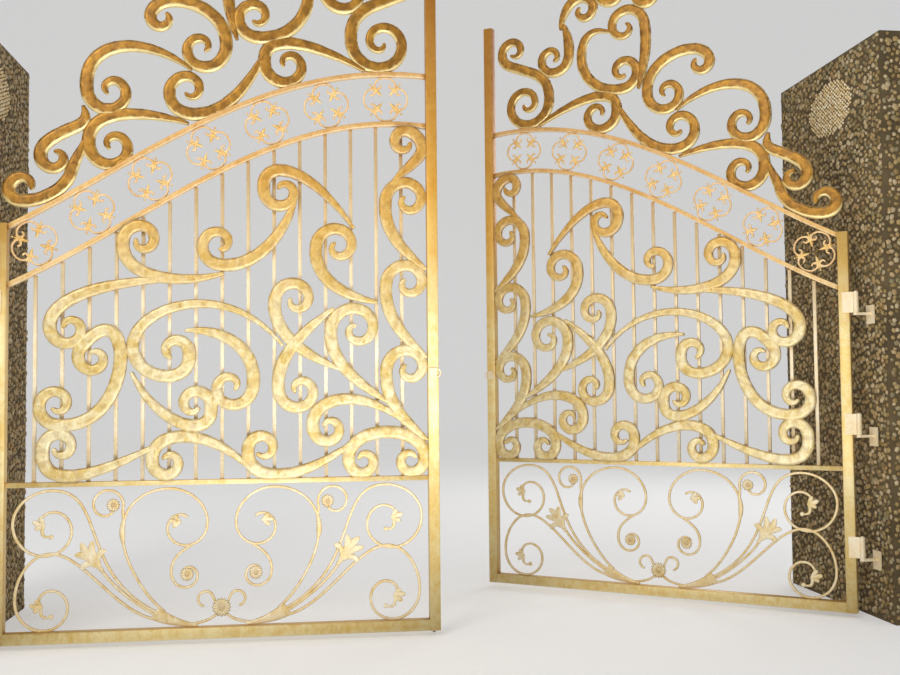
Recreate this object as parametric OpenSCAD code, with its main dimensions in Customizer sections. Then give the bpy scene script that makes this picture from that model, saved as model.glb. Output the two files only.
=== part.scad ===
// Double-leaf wrought iron driveway gate between two pebble-clad piers.
// Millimetres. X runs along the closed gate, Y points inwards (away from the
// road side) and Z up. The origin is the middle of the left pier's base.
// Each leaf is drawn in its own plane, with u measured from the outer edge of
// its hinge stile towards the meeting stile and v up from its bottom edge.
// The right leaf is the left one mirrored, and it stands ajar.

/* [Leaf frame] */
// Width of one leaf over its stiles
leaf_w = 1950; // [1850:10:2100]
// Width and depth of the square frame tube
tube = 50; // [40:1:60]
// Height of the meeting stile
meeting_stile_h = 3160; // [3130:5:3300]
// Height of the mid rail's underside above the leaf's bottom edge
mid_rail_v = 675; // [660:1:690]
// Height of the mid rail's bar
mid_rail_h = 22; // [18:1:26]
// Depth of the mid rail's bar
mid_rail_d = 30; // [24:1:40]
// Gap between the two closed leaves
meeting_gap = 40; // [30:1:60]
// Gap between the ground and the leaves
ground_gap = 25; // [15:1:60]

/* [Arches] */
// Height of the lower arch's middle line where its curve turns
arch_mid_v = 1856; // [1800:1:1900]
// Rise of the lower arch above and below that height
arch_rise = 458; // [440:1:470]
// Distance of the arch's crown from the leaf's meeting edge
arch_crown_in = 190; // [170:1:210]
// Arc length scale of the wave, in millimetres a radian
arch_wave = 756; // [740:1:780]
// Distance between the middle lines of the two arches, square to them
arch_gap = 232; // [226:1:236]
// Height of the arch bars
arch_bar = 28; // [24:1:32]
// Depth of the arch bars
arch_depth = 30; // [24:1:40]

/* [Bars] */
// Number of vertical bars in a leaf
bar_count = 15; // [13:1:16]
// Width of a vertical bar
bar_w = 16; // [12:1:18]

/* [Scrolls] */
// Depth of the heavy scrolls of the main panel
scroll_depth = 34; // [24:1:40]
// Width of a heavy scroll where it is fullest
scroll_w = 56; // [46:1:60]
// Width of a heavy scroll at its eye
eye_w = 38; // [32:1:42]
// Width of a heavy scroll at its drawn-out tail
tail_w = 16; // [12:1:20]
// How late a tail draws out, where a higher power keeps it full for longer
taper_power = 3.5; // [2:0.5:4]
// Width of the light scrolls in the bottom panel
light_w = 13; // [10:1:15]
// Degrees turned from one facet of a scroll to the next
turn_step = 18; // [12:1:24]
// Air left where a scroll meets a bar that it is welded to
weld_air = 0.3; // [0.2:0.1:0.6]

/* [Castings] */
// Thickness of the cast flowers and leaves
cast_t = 8; // [5:1:12]
// Number of rosettes between the arches
rosette_count = 7; // [6:1:7]
// Width of the rosettes' bars
rosette_bar = 8; // [6:1:9]

/* [Hinges] */
// Number of hinges on a leaf
hinge_count = 3; // [2:1:4]
// Distance of the pin outside the hinge stile
pin_out = 30; // [28:1:36]
// Diameter of the hinge pin
pin_d = 14; // [12:1:16]
// Outer diameter of the barrel
barrel_d = 26; // [24:1:28]
// Height of a hinge plate
hinge_h = 100; // [80:1:110]
// Width of the part of the plate that lies on the stile
plate_on_stile = 32; // [26:1:40]
// Thickness of the hinge plate
plate_t = 6; // [5:1:8]
// Play between pin and barrel, measured on the radius
pin_play = 0.4; // [0.3:0.1:0.6]
// Swing of the right leaf, left ajar
ajar = 35; // [0:1:60]

/* [Lock and bolt] */
// Height of the lock rings above the leaf's bottom edge
lock_v = 1163; // [1000:1:1300]
// Diameter of the drop bolt
bolt_d = 14; // [12:1:16]
// Length of the drop bolt's rod
bolt_len = 620; // [500:5:700]
// How far the bolt's tip stands below the leaf when it is down
bolt_drop = 19; // [15:1:22]
// Play between the bolt and its keepers, measured on the radius
bolt_play = 0.8; // [0.5:0.1:1.2]

/* [Piers] */
// Width of a pier across the gate
pier_w = 450; // [400:10:600]
// Depth of a pier along the way in
pier_d = 1100; // [900:10:1300]
// Height of a pier
pier_h = 2800; // [2600:10:3100]
// How far a pier stands in front of the hinge pins
pier_front = 140; // [80:5:200]
// Distance from the hinge pin to the pier's inner face
reveal_gap = 76; // [74:1:90]

/* [Hidden] */
iron = "#d8bd7c";
pebble = "#7d6a48";
half_tube = tube / 2;
pin_y = -half_tube - plate_t / 2;
inner_u = tube;
inner_w = leaf_w - 2 * tube;
left_reveal_x = pier_w / 2;
left_pin_x = left_reveal_x + reveal_gap;
span = 2 * (reveal_gap + pin_out + leaf_w) + meeting_gap;
right_pin_x = left_reveal_x + span - reveal_gap;
gate_y = pier_front - pin_y - pier_d / 2;
bar_y0 = half_tube - 20;
bar_y1 = bar_y0 + bar_w;
// An arch is [height where it turns, rise, place of its crown, wave]
arch = [arch_mid_v, arch_rise, leaf_w - arch_crown_in, arch_wave];
arch_steps = 64;
hinge_stile_h = arch_side_v(inner_u, arch_gap + arch_bar / 2);
hinge_low_v = 315;
hinge_high_v = hinge_stile_h - 350;
hinge_step = (hinge_high_v - hinge_low_v) / (hinge_count - 1);
hinge_vs = [for (i = [0 : hinge_count - 1]) hinge_low_v + i * hinge_step];
main_v = mid_rail_v + mid_rail_h;

// Leaf drawing to solids: u stays X, v goes up, w is the depth from y0.
module upright(y0, depth) {
    translate([0, y0 + depth, 0]) rotate([90, 0, 0]) linear_extrude(depth) children();
}

// The arch's middle line, its slope and a point at a distance to its upper side
function arch_v(u, a = arch) = a[0] + a[1] * cos((u - a[2]) / a[3] * 180 / PI);
function arch_slope(u) = -arch[1] / arch[3] * sin((u - arch[2]) / arch[3] * 180 / PI);
function arch_pt(u, up) =
    let (s = arch_slope(u), n = sqrt(1 + s * s)) [u - up * s / n, arch_v(u) + up / n];

// Height, at one place along the leaf, of the curve that runs beside the arch:
// the foot of its offset is found by stepping towards it
function arch_foot(u, up, k = 8) = k == 0 ? u : let (f = arch_foot(u, up, k - 1)) f + u - arch_pt(f, up)[0];
function arch_side_v(u, up) = arch_pt(arch_foot(u, up), up)[1];
module between_curves(u0, u1, low, high) {
    us = [for (i = [0 : arch_steps]) u0 + (u1 - u0) * i / arch_steps];
    polygon(concat(
        [for (u = us) [u, arch_side_v(u, low)]],
        [for (u = reversed(us)) [u, arch_side_v(u, high)]]
    ));
}

// The scrolls were drawn on a leaf of these sizes: a panel from 50 to 1900
// across, 50 to 675 and 697 up, and this lower arch. Each panel's own function
// takes a drawn point to its place on the real leaf.
drawn_u = [50, 1900];
drawn_base_v = [50, 675];
drawn_main_v = 697;
drawn_arch = [1856, 458, 1760, 756];
drawn_gap = 232;
function along(u) = inner_u + (u - drawn_u[0]) * inner_w / (drawn_u[1] - drawn_u[0]);
on_base = function (p)
    let (k = (p[1] - drawn_base_v[0]) / (drawn_base_v[1] - drawn_base_v[0]))
    [along(p[0]), tube + k * (mid_rail_v - tube)];
on_main = function (p)
    let (u = along(p[0]), k = (p[1] - drawn_main_v) / (arch_v(p[0], drawn_arch) - drawn_main_v))
    [u, main_v + k * (arch_v(u) - main_v)];
on_crest = function (p)
    let (u = along(p[0])) [u, p[1] + arch_v(u) - arch_v(p[0], drawn_arch) + arch_gap - drawn_gap];

// Scrolls. An eye is [u, v, outer radius, inner radius, angle where the body
// leaves it, signed turn inwards]; a tail is [u, v, direction into the body];
// a knot is [u, v, direction, handle before, handle after].
function tightening(e) = len(e) > 6 ? e[6] : 1;
function eye_pt(e, t) =
    let (r = e[2] + (e[3] - e[2]) * pow(t, tightening(e)), a = e[4] + e[5] * t)
    [e[0] + r * cos(a), e[1] + r * sin(a)];
function eye_leave(e) =
    let (
        w = e[5] * PI / 180,
        k = tightening(e) == 1 ? e[3] - e[2] : 0,
        d = [-k * cos(e[4]) + e[2] * w * sin(e[4]), -k * sin(e[4]) - e[2] * w * cos(e[4])]
    ) atan2(d[1], d[0]);
function is_eye(e) = len(e) > 3;
function end_pt(e) = is_eye(e) ? eye_pt(e, 0) : [e[0], e[1]];
function end_dir(e) = is_eye(e) ? eye_leave(e) : e[2];
function dir(a) = [cos(a), sin(a)];
function bezier(a, b, c, d, t) =
    a * pow(1 - t, 3) + b * 3 * t * pow(1 - t, 2) + c * 3 * t * t * (1 - t) + d * pow(t, 3);

// Middle line with its width, as [u, v, width], from the first end to the second
function coil_in(e, w_eye, w_out, step) =
    let (n = ceil(abs(e[5]) / step))
    [for (i = [0 : n]) concat(eye_pt(e, i / n), [w_out + (w_eye - w_out) * i / n])];
function reversed(l) = [for (i = [len(l) - 1 : -1 : 0]) l[i]];
function leg(p, q, taper, n) =
    [for (i = [1 : n - 1]) let (t = i / n)
        concat(bezier([p[0], p[1]], [p[0], p[1]] + p[4] * dir(p[2]),
            [q[0], q[1]] - q[3] * dir(q[2]), [q[0], q[1]], t), [taper(t)])];

// s = [first end, knots, last end, handle at first, handle at last]. The width
// holds near a full end and draws out towards a tail.
function stops(s) =
    let (a = s[0], b = s[2]) concat(
        [[end_pt(a)[0], end_pt(a)[1], end_dir(a), 0, s[3]]], s[1],
        [[end_pt(b)[0], end_pt(b)[1], end_dir(b) + 180, s[4], 0]]);
function scroll_line(s, w_full, w_eye, w_tail, n, step) =
    let (
        a = s[0], b = s[2], st = stops(s), m = len(st) - 1,
        wb = is_eye(b) ? w_full : w_tail
    ) concat(
        is_eye(a) ? reversed(coil_in(a, w_eye, w_full, step)) : [[a[0], a[1], w_full]],
        [for (k = [0 : m - 1]) each concat(
            k == 0 ? [] : [[st[k][0], st[k][1], w_full + (wb - w_full) * pow(k / m, taper_power)]],
            leg(st[k], st[k + 1], function (t) w_full + (wb - w_full) * pow((k + t) / m, taper_power), n))],
        is_eye(b) ? coil_in(b, w_eye, wb, step) : [[b[0], b[1], wb]]);

// Outline of a middle line: both sides, with a blunt rounded nose at an eye
function side(l, i, sgn) =
    let (
        p = l[max(i - 1, 0)], q = l[min(i + 1, len(l) - 1)],
        a = atan2(q[1] - p[1], q[0] - p[0]) + 90 * sgn
    ) [l[i][0] + l[i][2] / 2 * cos(a), l[i][1] + l[i][2] / 2 * sin(a)];
function nose(l, i, j) =
    let (a = atan2(l[i][1] - l[j][1], l[i][0] - l[j][0]))
    [for (t = [-50 : 50 : 50]) [l[i][0] + l[i][2] / 2 * cos(a + t), l[i][1] + l[i][2] / 2 * sin(a + t)]];
function outline(l, nose_a, nose_b) =
    concat(
        [for (i = [0 : len(l) - 1]) side(l, i, -1)],
        nose_b ? nose(l, len(l) - 1, len(l) - 2) : [],
        [for (i = [len(l) - 1 : -1 : 0]) side(l, i, 1)],
        nose_a ? nose(l, 0, 1) : []);
module scroll(s, w_full, w_eye, w_tail, n = 8, step = turn_step, place = function (p) p) {
    line = scroll_line(s, w_full, w_eye, w_tail, n, step);
    polygon([for (p = outline(line, is_eye(s[0]), is_eye(s[2]))) place(p)]);
}

// Heavy scrolls of the main panel, in u and v
main_scrolls = [
    [[280, 848, 72, 30, 180, -300], [], [700, 858, 208], 200, 300],
    [[265, 1035, 88, 30, 270, -350], [], [421, 1240, 72, 30, 135, 300], 350, 370],
    [[315, 1372, 82, 30, 180, 300], [], [790, 1588, 180], 130, 330],
    [[625, 1762, 82, 30, 180, -320], [], [985, 1618, 197], 160, 220],
    [[1245, 1992, 84, 30, 180, 280], [], [1565, 1825, 124], 150, 380],
    [[965, 1748, 92, 30, 270, -310], [], [1303, 1955, 253], 170, 150],
    [[768, 1266, 64, 34, 0, 210], [[588, 1290, 90, 150, 180]], [1245, 1290, 127], 170, 400],
    [[1015, 1108, 98, 30, 0, -340], [], [815, 1360, 5], 180, 160],
    [[855, 1030, 73, 30, 0, 280], [], [583, 1175, 294], 170, 270],
    [[742, 778, 68, 30, 180, 280], [], [1117, 722, 130], 150, 290],
    [[1605, 768, 66, 30, 180, 290], [], [1818, 768, 64, 30, 0, -290], 173, 173],
    [[1450, 918, 72, 30, 180, 290], [], [1785, 945, 140], 140, 260],
    [[1812, 1185, 100, 28, 180, -350], [], [1897, 858, 140], 150, 130],
    [[1812, 1575, 100, 28, 180, -350], [], [1897, 1235, 140], 150, 130],
    [[1812, 1957, 100, 28, 180, -350], [], [1897, 1636, 140], 150, 130],
    [[1800, 2225, 60, 30, 45, 270], [], [1742, 2040, 45], 130, 130],
    [[1493, 1742, 98, 28, 180, -350], [], [1675, 1487, 172], 150, 150],
    [[1576, 1364, 115, 28, 180, -380], [], [1722, 1030, 148], 140, 170],
    [[1302, 1498, 92, 30, 180, -320], [], [1505, 1182, 158], 150, 180],
    [[1320, 1090, 94, 30, 180, 330], [], [1475, 1460, 216], 150, 170],
    [[1155, 832, 64, 36, 180, -270], [], [1572, 868, 220], 170, 300]
];

// Heavy scrolls of the crest, which stands on the upper arch
crest_scrolls = [
    [[112, 1996, 62, 36, 180, -165], [[314, 2068, 75, 130, 60]], [368, 2215, 265], 110, 45],
    [[245, 2135, 62, 28, 180, 235], [[361, 2291, 45, 45, 25]], [365, 2368, 290], 90, 40],
    [[494, 2190, 104, 28, 180, 340], [], [825, 2298, 163], 170, 220],
    [[484, 2440, 104, 28, 180, 345], [], [838, 2545, 142], 230, 270],
    [[826, 2448, 105, 28, 270, -350], [], [1168, 2640, 245], 150, 200],
    [[885, 2645, 106, 28, 0, -345], [], [705, 2780, 52, 32, 150, 220], 200, 130],
    [[1268, 2580, 104, 28, 180, 325], [], [1620, 2560, 150], 160, 260],
    [[1125, 2795, 92, 30, 270, -340], [[1362, 2905, 90, 120, 110]], [1190, 3022, 25], 130, 130],
    [[1697, 2692, 138, 30, 180, 450], [[1690, 2880, 22, 90, 45]], [1772, 3005, 84, 30, 285, 330], 110, 45],
    [[1112, 3040, 112, 28, 180, -355], [], [1040, 2690, 105], 120, 120],
    [[1535, 2930, 98, 28, 180, 360], [], [1462, 3110, 255], 70, 70],
    [[1348, 3172, 68, 30, 110, 250], [], [1482, 3085, 95], 90, 100],
    [[1180, 3252, 80, 36, 0, -235], [], [1005, 3200, 64, 36, 180, 250], 150, 130]
];

// Light scrolls of the bottom panel's hinge half; the other half mirrors it
base_scrolls = [
    [[230, 165, 135, 36, 180, 350], [[240, 386, 0, 85, 140]], [694, 88, 170], 110, 180],
    [[436, 342, 310], [], [700, 100, 149], 30, 240],
    [[235, 500, 152, 38, 180, 350], [[245, 660, 0, 90, 240]], [708, 112, 154], 90, 400],
    [
        [807, 495, 105, 42, 0, -300],
        [[745, 660, 180, 95, 110], [545, 475, 270, 110, 140]], [728, 122, 146], 85, 80
    ],
    [[825, 280, 68, 24, 180, 330], [], [845, 411, 212], 70, 60],
    [[480, 590, 70, 30, 350, 350, 2], [], [552, 500, 88], 30, 30],
    [[905, 168, 36, 30, 70, 190], [], [957, 140, 130], 25, 25],
    [[960, 112, 235], [], [800, 62, 0], 50, 60]
];
// Cast flowers of that half, as [u, v, radius]
base_flowers = [[825, 282, 25], [505, 592, 24]];
centre_flower = [(drawn_u[0] + drawn_u[1]) / 2, 133, 40];
// Cast leaves of that half, as [u, v, length, direction]
base_leaves = [[436, 342, 120, 128], [204, 160, 66, 172], [212, 512, 66, 160], [790, 514, 62, 174]];

module hinge_stile() {
    translate([0, -half_tube, 0]) cube([tube, tube, hinge_stile_h]);
}
module meeting_stile() {
    translate([leaf_w - tube, -half_tube, 0]) cube([tube, tube, meeting_stile_h]);
}
module bottom_rail() {
    translate([inner_u, -half_tube, 0]) cube([inner_w, tube, tube]);
}
module mid_rail() {
    translate([inner_u, bar_y1 - mid_rail_d, mid_rail_v]) cube([inner_w, mid_rail_d, mid_rail_h]);
}
module arch_band(up) {
    upright(bar_y1 - arch_depth, arch_depth)
        between_curves(inner_u, leaf_w - tube, up - arch_bar / 2, up + arch_bar / 2);
}
module lower_arch() {
    arch_band(0);
}
module upper_arch() {
    arch_band(arch_gap);
}

// Vertical bars from the mid rail up to the underside of the lower arch
module bars() {
    upright(bar_y0, bar_w) for (i = [1 : bar_count]) {
        u0 = inner_u + inner_w * i / (bar_count + 1) - bar_w / 2;
        u1 = u0 + bar_w;
        polygon([
            [u0, mid_rail_v + mid_rail_h], [u1, mid_rail_v + mid_rail_h],
            [u1, arch_side_v(u1, -arch_bar / 2) - weld_air], [u0, arch_side_v(u0, -arch_bar / 2) - weld_air]
        ]);
    }
}

// The scrolls are trimmed where they are welded to the frame
module main_panel() {
    us = [for (i = [0 : arch_steps]) inner_u + weld_air + (inner_w - 2 * weld_air) * i / arch_steps];
    polygon(concat(
        [[us[0], main_v + weld_air]],
        [for (u = us) [u, arch_side_v(u, -arch_bar / 2 - weld_air)]],
        [[us[arch_steps], main_v + weld_air]]
    ));
}
module main_scroll_work() {
    intersection() {
        union() for (s = main_scrolls)
            upright(bar_y0 - scroll_depth, scroll_depth)
                scroll(s, scroll_w, eye_w, tail_w, place = on_main);
        upright(bar_y0 - scroll_depth - 5, scroll_depth + 10) main_panel();
    }
}
module crest_scroll_work() {
    difference() {
        union() for (s = crest_scrolls)
            upright(bar_y1 - arch_depth, arch_depth)
                scroll(s, scroll_w + 4, eye_w, tail_w, place = on_crest);
        upright(bar_y1 - arch_depth - 5, arch_depth + 10) {
            between_curves(-50, leaf_w, -arch_gap, arch_gap + arch_bar / 2 + weld_air);
            translate([leaf_w - tube - weld_air, 0]) square([2 * tube, 2 * meeting_stile_h]);
        }
    }
}

// Rosettes between the arches: four C scrolls held by cast lilies on the
// diagonals, drawn at the size where they reach 101 mm from their middle
// The first rosette clears the hinge stile, so its place follows the gap
rosette_first = inner_u + arch_gap * 165 / 232;
rosette_last_in = 230;
rosette_r = (arch_gap - arch_bar) / 2 - weld_air;
lobe = [[60, 31, 15, 10, 90, 230], [[97, 0, -90, 25.3, 25.3]], [60, -31, 15, 10, 270, -230], 20.4, 20.4];
module lily() {
    polygon([
        [20, 0], [34, 6], [46, 7], [54, 4], [57, 13], [66, 12], [68, 5], [78, 3], [91, 4], [97, 6],
        [99, 0], [97, -6], [91, -4], [78, -3], [68, -5], [66, -12], [57, -13], [54, -4], [46, -7], [34, -6]
    ]);
}
module rosette(mid_y) {
    for (a = [0 : 90 : 270]) {
        upright(mid_y - rosette_bar / 2, rosette_bar) scale(rosette_r / 101) rotate(a)
            scroll(lobe, rosette_bar, rosette_bar, rosette_bar, 4, 40);
        upright(mid_y - rosette_bar / 2 - 2, rosette_bar + 4) scale(rosette_r / 101) rotate(a + 45) lily();
    }
}
module rosettes() {
    for (i = [0 : rosette_count - 1]) {
        u = rosette_first + i * (leaf_w - rosette_last_in - rosette_first) / (rosette_count - 1);
        p = arch_pt(u, arch_gap / 2);
        translate([p[0], 0, p[1]]) rotate([0, -atan(arch_slope(u)), 0]) rosette(bar_y1 - arch_depth / 2);
    }
}

// Bottom panel: light work, with a collar on the bottom rail each side
collar = [[684, 88], [722, 142], [775, 112], [852, 68], [852, 50.3], [745, 50.3]];
module half_base() {
    for (s = base_scrolls)
        upright(-light_w / 2, light_w) scroll(s, light_w, light_w - 2, light_w - 2, 7, 24, on_base);
    upright(-light_w / 2 - 2, light_w + 4) polygon([for (p = collar) on_base(p)]);
}
module both_halves() {
    children();
    translate([leaf_w, 0, 0]) mirror([1, 0, 0]) children();
}
module base_panel() {
    translate([inner_u + weld_air, tube + weld_air])
        square([inner_w - 2 * weld_air, mid_rail_v - tube - 2 * weld_air]);
}
module base_scroll_work() {
    intersection() {
        both_halves() half_base();
        upright(-light_w / 2 - 10, light_w + 20) base_panel();
    }
}

// Cast flowers and leaves, laid on the front of the light scrolls
module flower(f) {
    translate(on_base(f)) {
        circle(f[2] * 0.62, $fn = 20);
        for (a = [0 : 45 : 315]) rotate(a) translate([f[2] * 0.7, 0]) circle(f[2] * 0.3, $fn = 12);
    }
}
module cast_leaf(l) {
    translate(on_base(l)) rotate(l[3]) scale(l[2] / 100) polygon([
        [-22, 0], [-4, 10], [4, 34], [22, 22], [36, 40], [46, 18], [78, 22], [64, 8],
        [100, 0], [64, -8], [78, -22], [46, -18], [36, -40], [22, -22], [4, -34], [-4, -10]
    ]);
}
module base_castings() {
    both_halves() upright(-light_w / 2 - cast_t, cast_t) {
        for (f = base_flowers) flower(f);
        for (l = base_leaves) cast_leaf(l);
    }
    upright(-light_w / 2 - cast_t, cast_t) flower(centre_flower);
}

// Welded plates with their barrels, which turn on the pins of the pier
module hinge_plates() {
    for (v = hinge_vs) translate([-pin_out, pin_y, v - hinge_h / 2]) difference() {
        union() {
            cylinder(d = barrel_d, h = hinge_h, $fn = 48);
            translate([0, -plate_t / 2, 0]) cube([pin_out + plate_on_stile, plate_t, hinge_h]);
        }
        translate([0, 0, -1]) cylinder(r = pin_d / 2 + pin_play, h = hinge_h + 2, $fn = 48);
    }
}

// Lock ring: a small box on the stile's front, with half a ring at its side
ring_r = 18;
ring_bar = 7;
lock_box = [35, 8, 46];
module lock_ring() {
    translate([leaf_w - tube + 5, -half_tube - lock_box[1], lock_v - lock_box[2] / 2]) cube(lock_box);
    translate([leaf_w - tube + 5 + lock_box[0], -half_tube - lock_box[1] / 2, lock_v])
        rotate([90, 0, 0]) intersection() {
            rotate_extrude($fn = 48) translate([ring_r, 0]) circle(ring_bar / 2, $fn = 24);
            translate([0, -2 * ring_r, -ring_bar]) cube([2 * ring_r, 4 * ring_r, 2 * ring_bar]);
        }
}

// Drop bolt at the back of the left meeting stile, and its two keepers
bolt_u = leaf_w - half_tube;
bolt_y = half_tube + 12;
keeper = [32, 26, 22];
module bolt_keepers() {
    for (v = [60, bolt_len - 110]) translate([bolt_u, 0, v]) difference() {
        translate([-keeper[0] / 2, half_tube, 0]) cube(keeper);
        translate([0, bolt_y, -1]) cylinder(r = bolt_d / 2 + bolt_play, h = keeper[2] + 2, $fn = 48);
    }
}
module drop_bolt() {
    translate([bolt_u, bolt_y, -bolt_drop]) {
        cylinder(d = bolt_d, h = bolt_len, $fn = 48);
        translate([0, 0, bolt_len / 2]) rotate([-90, 0, 0]) cylinder(d = bolt_d - 4, h = 60, $fn = 32);
    }
}

// Pier, and the wall plates, arms and pins of its hinges, at the left side
pin_seat = 12;
module pier() {
    translate([-pier_w / 2, -pier_d / 2, 0]) cube([pier_w, pier_d, pier_h]);
}
module pier_hinge_pins() {
    for (v = hinge_vs) translate([left_reveal_x, gate_y + pin_y, ground_gap + v - hinge_h / 2]) {
        translate([0, -35, -55]) cube([plate_t, 70, 90]);
        translate([plate_t, -pin_seat, -1 - pin_seat]) cube([reveal_gap - plate_t, 2 * pin_seat, pin_seat]);
        translate([reveal_gap, 0, -1 - pin_seat]) cylinder(d = barrel_d, h = pin_seat, $fn = 48);
        translate([reveal_gap, 0, -2]) cylinder(d = pin_d, h = hinge_h + 6, $fn = 48);
    }
}

module on_left() {
    translate([left_pin_x + pin_out, gate_y, ground_gap]) children();
}
module on_right() {
    translate([right_pin_x, gate_y + pin_y, 0]) rotate([0, 0, -ajar])
        mirror([1, 0, 0]) translate([pin_out, -pin_y, ground_gap]) children();
}
module at_right_pier() {
    translate([left_reveal_x + span + pier_w / 2, 0, 0]) mirror([1, 0, 0]) children();
}

color(pebble) pier();  // left_pier
color(pebble) at_right_pier() pier();  // right_pier
color(iron) pier_hinge_pins();  // left_pier_hinge_pins
color(iron) at_right_pier() pier_hinge_pins();  // right_pier_hinge_pins
color(iron) on_left() hinge_stile();  // left_hinge_stile
color(iron) on_left() meeting_stile();  // left_meeting_stile
color(iron) on_left() bottom_rail();  // left_bottom_rail
color(iron) on_left() mid_rail();  // left_mid_rail
color(iron) on_left() lower_arch();  // left_lower_arch
color(iron) on_left() upper_arch();  // left_upper_arch
color(iron) on_left() bars();  // left_bars
color(iron) on_left() rosettes();  // left_rosettes
color(iron) on_left() main_scroll_work();  // left_main_scrolls
color(iron) on_left() crest_scroll_work();  // left_crest_scrolls
color(iron) on_left() base_scroll_work();  // left_base_scrolls
color(iron) on_left() base_castings();  // left_base_castings
color(iron) on_left() hinge_plates();  // left_hinge_plates
color(iron) on_left() lock_ring();  // left_lock_ring
color(iron) on_left() bolt_keepers();  // left_bolt_keepers
color(iron) on_left() drop_bolt();
color(iron) on_right() hinge_stile();  // right_hinge_stile
color(iron) on_right() meeting_stile();  // right_meeting_stile
color(iron) on_right() bottom_rail();  // right_bottom_rail
color(iron) on_right() mid_rail();  // right_mid_rail
color(iron) on_right() lower_arch();  // right_lower_arch
color(iron) on_right() upper_arch();  // right_upper_arch
color(iron) on_right() bars();  // right_bars
color(iron) on_right() rosettes();  // right_rosettes
color(iron) on_right() main_scroll_work();  // right_main_scrolls
color(iron) on_right() crest_scroll_work();  // right_crest_scrolls
color(iron) on_right() base_scroll_work();  // right_base_scrolls
color(iron) on_right() base_castings();  // right_base_castings
color(iron) on_right() hinge_plates();  // right_hinge_plates
color(iron) on_right() lock_ring();  // right_lock_ring
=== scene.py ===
# %% [markdown]
# # A wrought iron driveway gate
# Two tall leaves of square tube hang between two pebble-clad piers. Their lower panels hold light scrolls
# with cast flowers, their upper panels heavy hammered scrolls, and a crest of the same work stands on a
# double arch. The imported CAD model is loaded first and never changed. It says where everything goes, so
# nothing below is fitted by eye.

# %% Load the imported model
import math

import bpy
import numpy as np
from mathutils import Matrix, Vector


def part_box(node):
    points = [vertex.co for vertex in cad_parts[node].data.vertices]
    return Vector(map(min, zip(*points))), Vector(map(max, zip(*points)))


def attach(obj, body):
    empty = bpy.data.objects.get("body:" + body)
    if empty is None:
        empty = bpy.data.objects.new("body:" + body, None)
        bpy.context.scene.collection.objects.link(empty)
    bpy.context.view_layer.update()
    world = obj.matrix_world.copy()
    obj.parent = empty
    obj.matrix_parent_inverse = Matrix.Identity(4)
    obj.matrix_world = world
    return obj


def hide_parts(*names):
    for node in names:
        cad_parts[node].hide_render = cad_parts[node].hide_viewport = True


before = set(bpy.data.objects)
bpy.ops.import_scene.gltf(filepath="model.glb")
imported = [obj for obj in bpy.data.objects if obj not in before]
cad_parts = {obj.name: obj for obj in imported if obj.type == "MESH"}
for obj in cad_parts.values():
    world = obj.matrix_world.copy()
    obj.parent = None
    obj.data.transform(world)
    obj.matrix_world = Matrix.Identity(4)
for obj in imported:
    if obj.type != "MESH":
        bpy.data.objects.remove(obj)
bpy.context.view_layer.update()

BOTH = ("left", "right")

# %% [markdown]
# ## The leaf's own drawing
# A smith draws a gate flat on the workshop floor. Here too a leaf is drawn flat, in millimetres: u runs from
# the hinge side to the meeting side, v up from the leaf's underside, and y inwards from the middle of the
# tubes. One function takes such points to the gateway. The right leaf is the left one's mirror image, swung
# open by 35 degrees about its pins, and one formula keeps both leaves alike.

# %% Place points of a leaf
MM = 0.001
AJAR = math.radians(35)
GATE_Y = -0.382
GROUND_GAP = 0.025
LEFT_LEAF_X = 0.331
RIGHT_PIN = (4.301, -0.410)
PIN_OUT = 30
PIN_Y = -28
LEAF_W = 1950.0


def place(side, points):
    """Leaf points (u, y, v) in millimetres to metres: the left leaf is shifted; the right one is mirrored
    about its pin, then turned by the angle it stands ajar."""
    u, y, v = points[:, 0], points[:, 1], points[:, 2]
    z = GROUND_GAP + v * MM
    if side == "left":
        return np.stack([LEFT_LEAF_X + u * MM, GATE_Y + y * MM, z], 1)
    along, inward = -(u + PIN_OUT) * MM, (y - PIN_Y) * MM
    x = RIGHT_PIN[0] + along * math.cos(AJAR) + inward * math.sin(AJAR)
    return np.stack([x, RIGHT_PIN[1] - along * math.sin(AJAR) + inward * math.cos(AJAR), z], 1)


for side in BOTH:
    print(side, "leaf's meeting corner", np.round(place(side, np.array([[LEAF_W, 0.0, 0.0]]))[0], 3))

# %% [markdown]
# ## The frame's sizes
# The stiles and the bottom rail are 50 mm square tube, the mid rail and the two arches flat bar on edge, and
# 15 square bars stand between the mid rail and the lower arch, which is one wave of a cosine. The upper arch
# runs beside it along its normals; a few steps of a fixed point find its height at a given u.

# %% Arch curves
TUBE = 50.0
INNER = (TUBE, LEAF_W - TUBE)
RAIL_V, RAIL_H, RAIL_D = 675.0, 22.0, 30.0
ARCH_V, ARCH_RISE, ARCH_CROWN, ARCH_WAVE = 1856.0, 458.0, 1760.0, 756.0
ARCH_BAR = 22.0
ARCH_GAP = 232.0
ARCH_Y = (-9.0, 21.0)
ARCH_MID_Y = sum(ARCH_Y) / 2
WELD_AIR = 0.3


def arch_v(u):
    """Height of the lower arch's middle line: mid height + rise * cosine of the way from the crown."""
    return ARCH_V + ARCH_RISE * np.cos((u - ARCH_CROWN) / ARCH_WAVE)


def arch_slope(u):
    """Rise over run of that line."""
    return -ARCH_RISE / ARCH_WAVE * np.sin((u - ARCH_CROWN) / ARCH_WAVE)


def beside_arch(u, up):
    """The point at distance up from the arch's point at u, square to the curve."""
    s = arch_slope(u)
    n = np.sqrt(1 + s * s)
    return np.stack([u - up * s / n, arch_v(u) + up / n], -1)


def arch_side_v(u, up):
    """Height at u of the curve beside the arch: the foot of its normal is found by stepping to it."""
    foot = np.array(u, dtype=float)
    for _ in range(8):
        foot = foot + u - beside_arch(foot, up)[..., 0]
    return beside_arch(foot, up)[..., 1]


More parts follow.
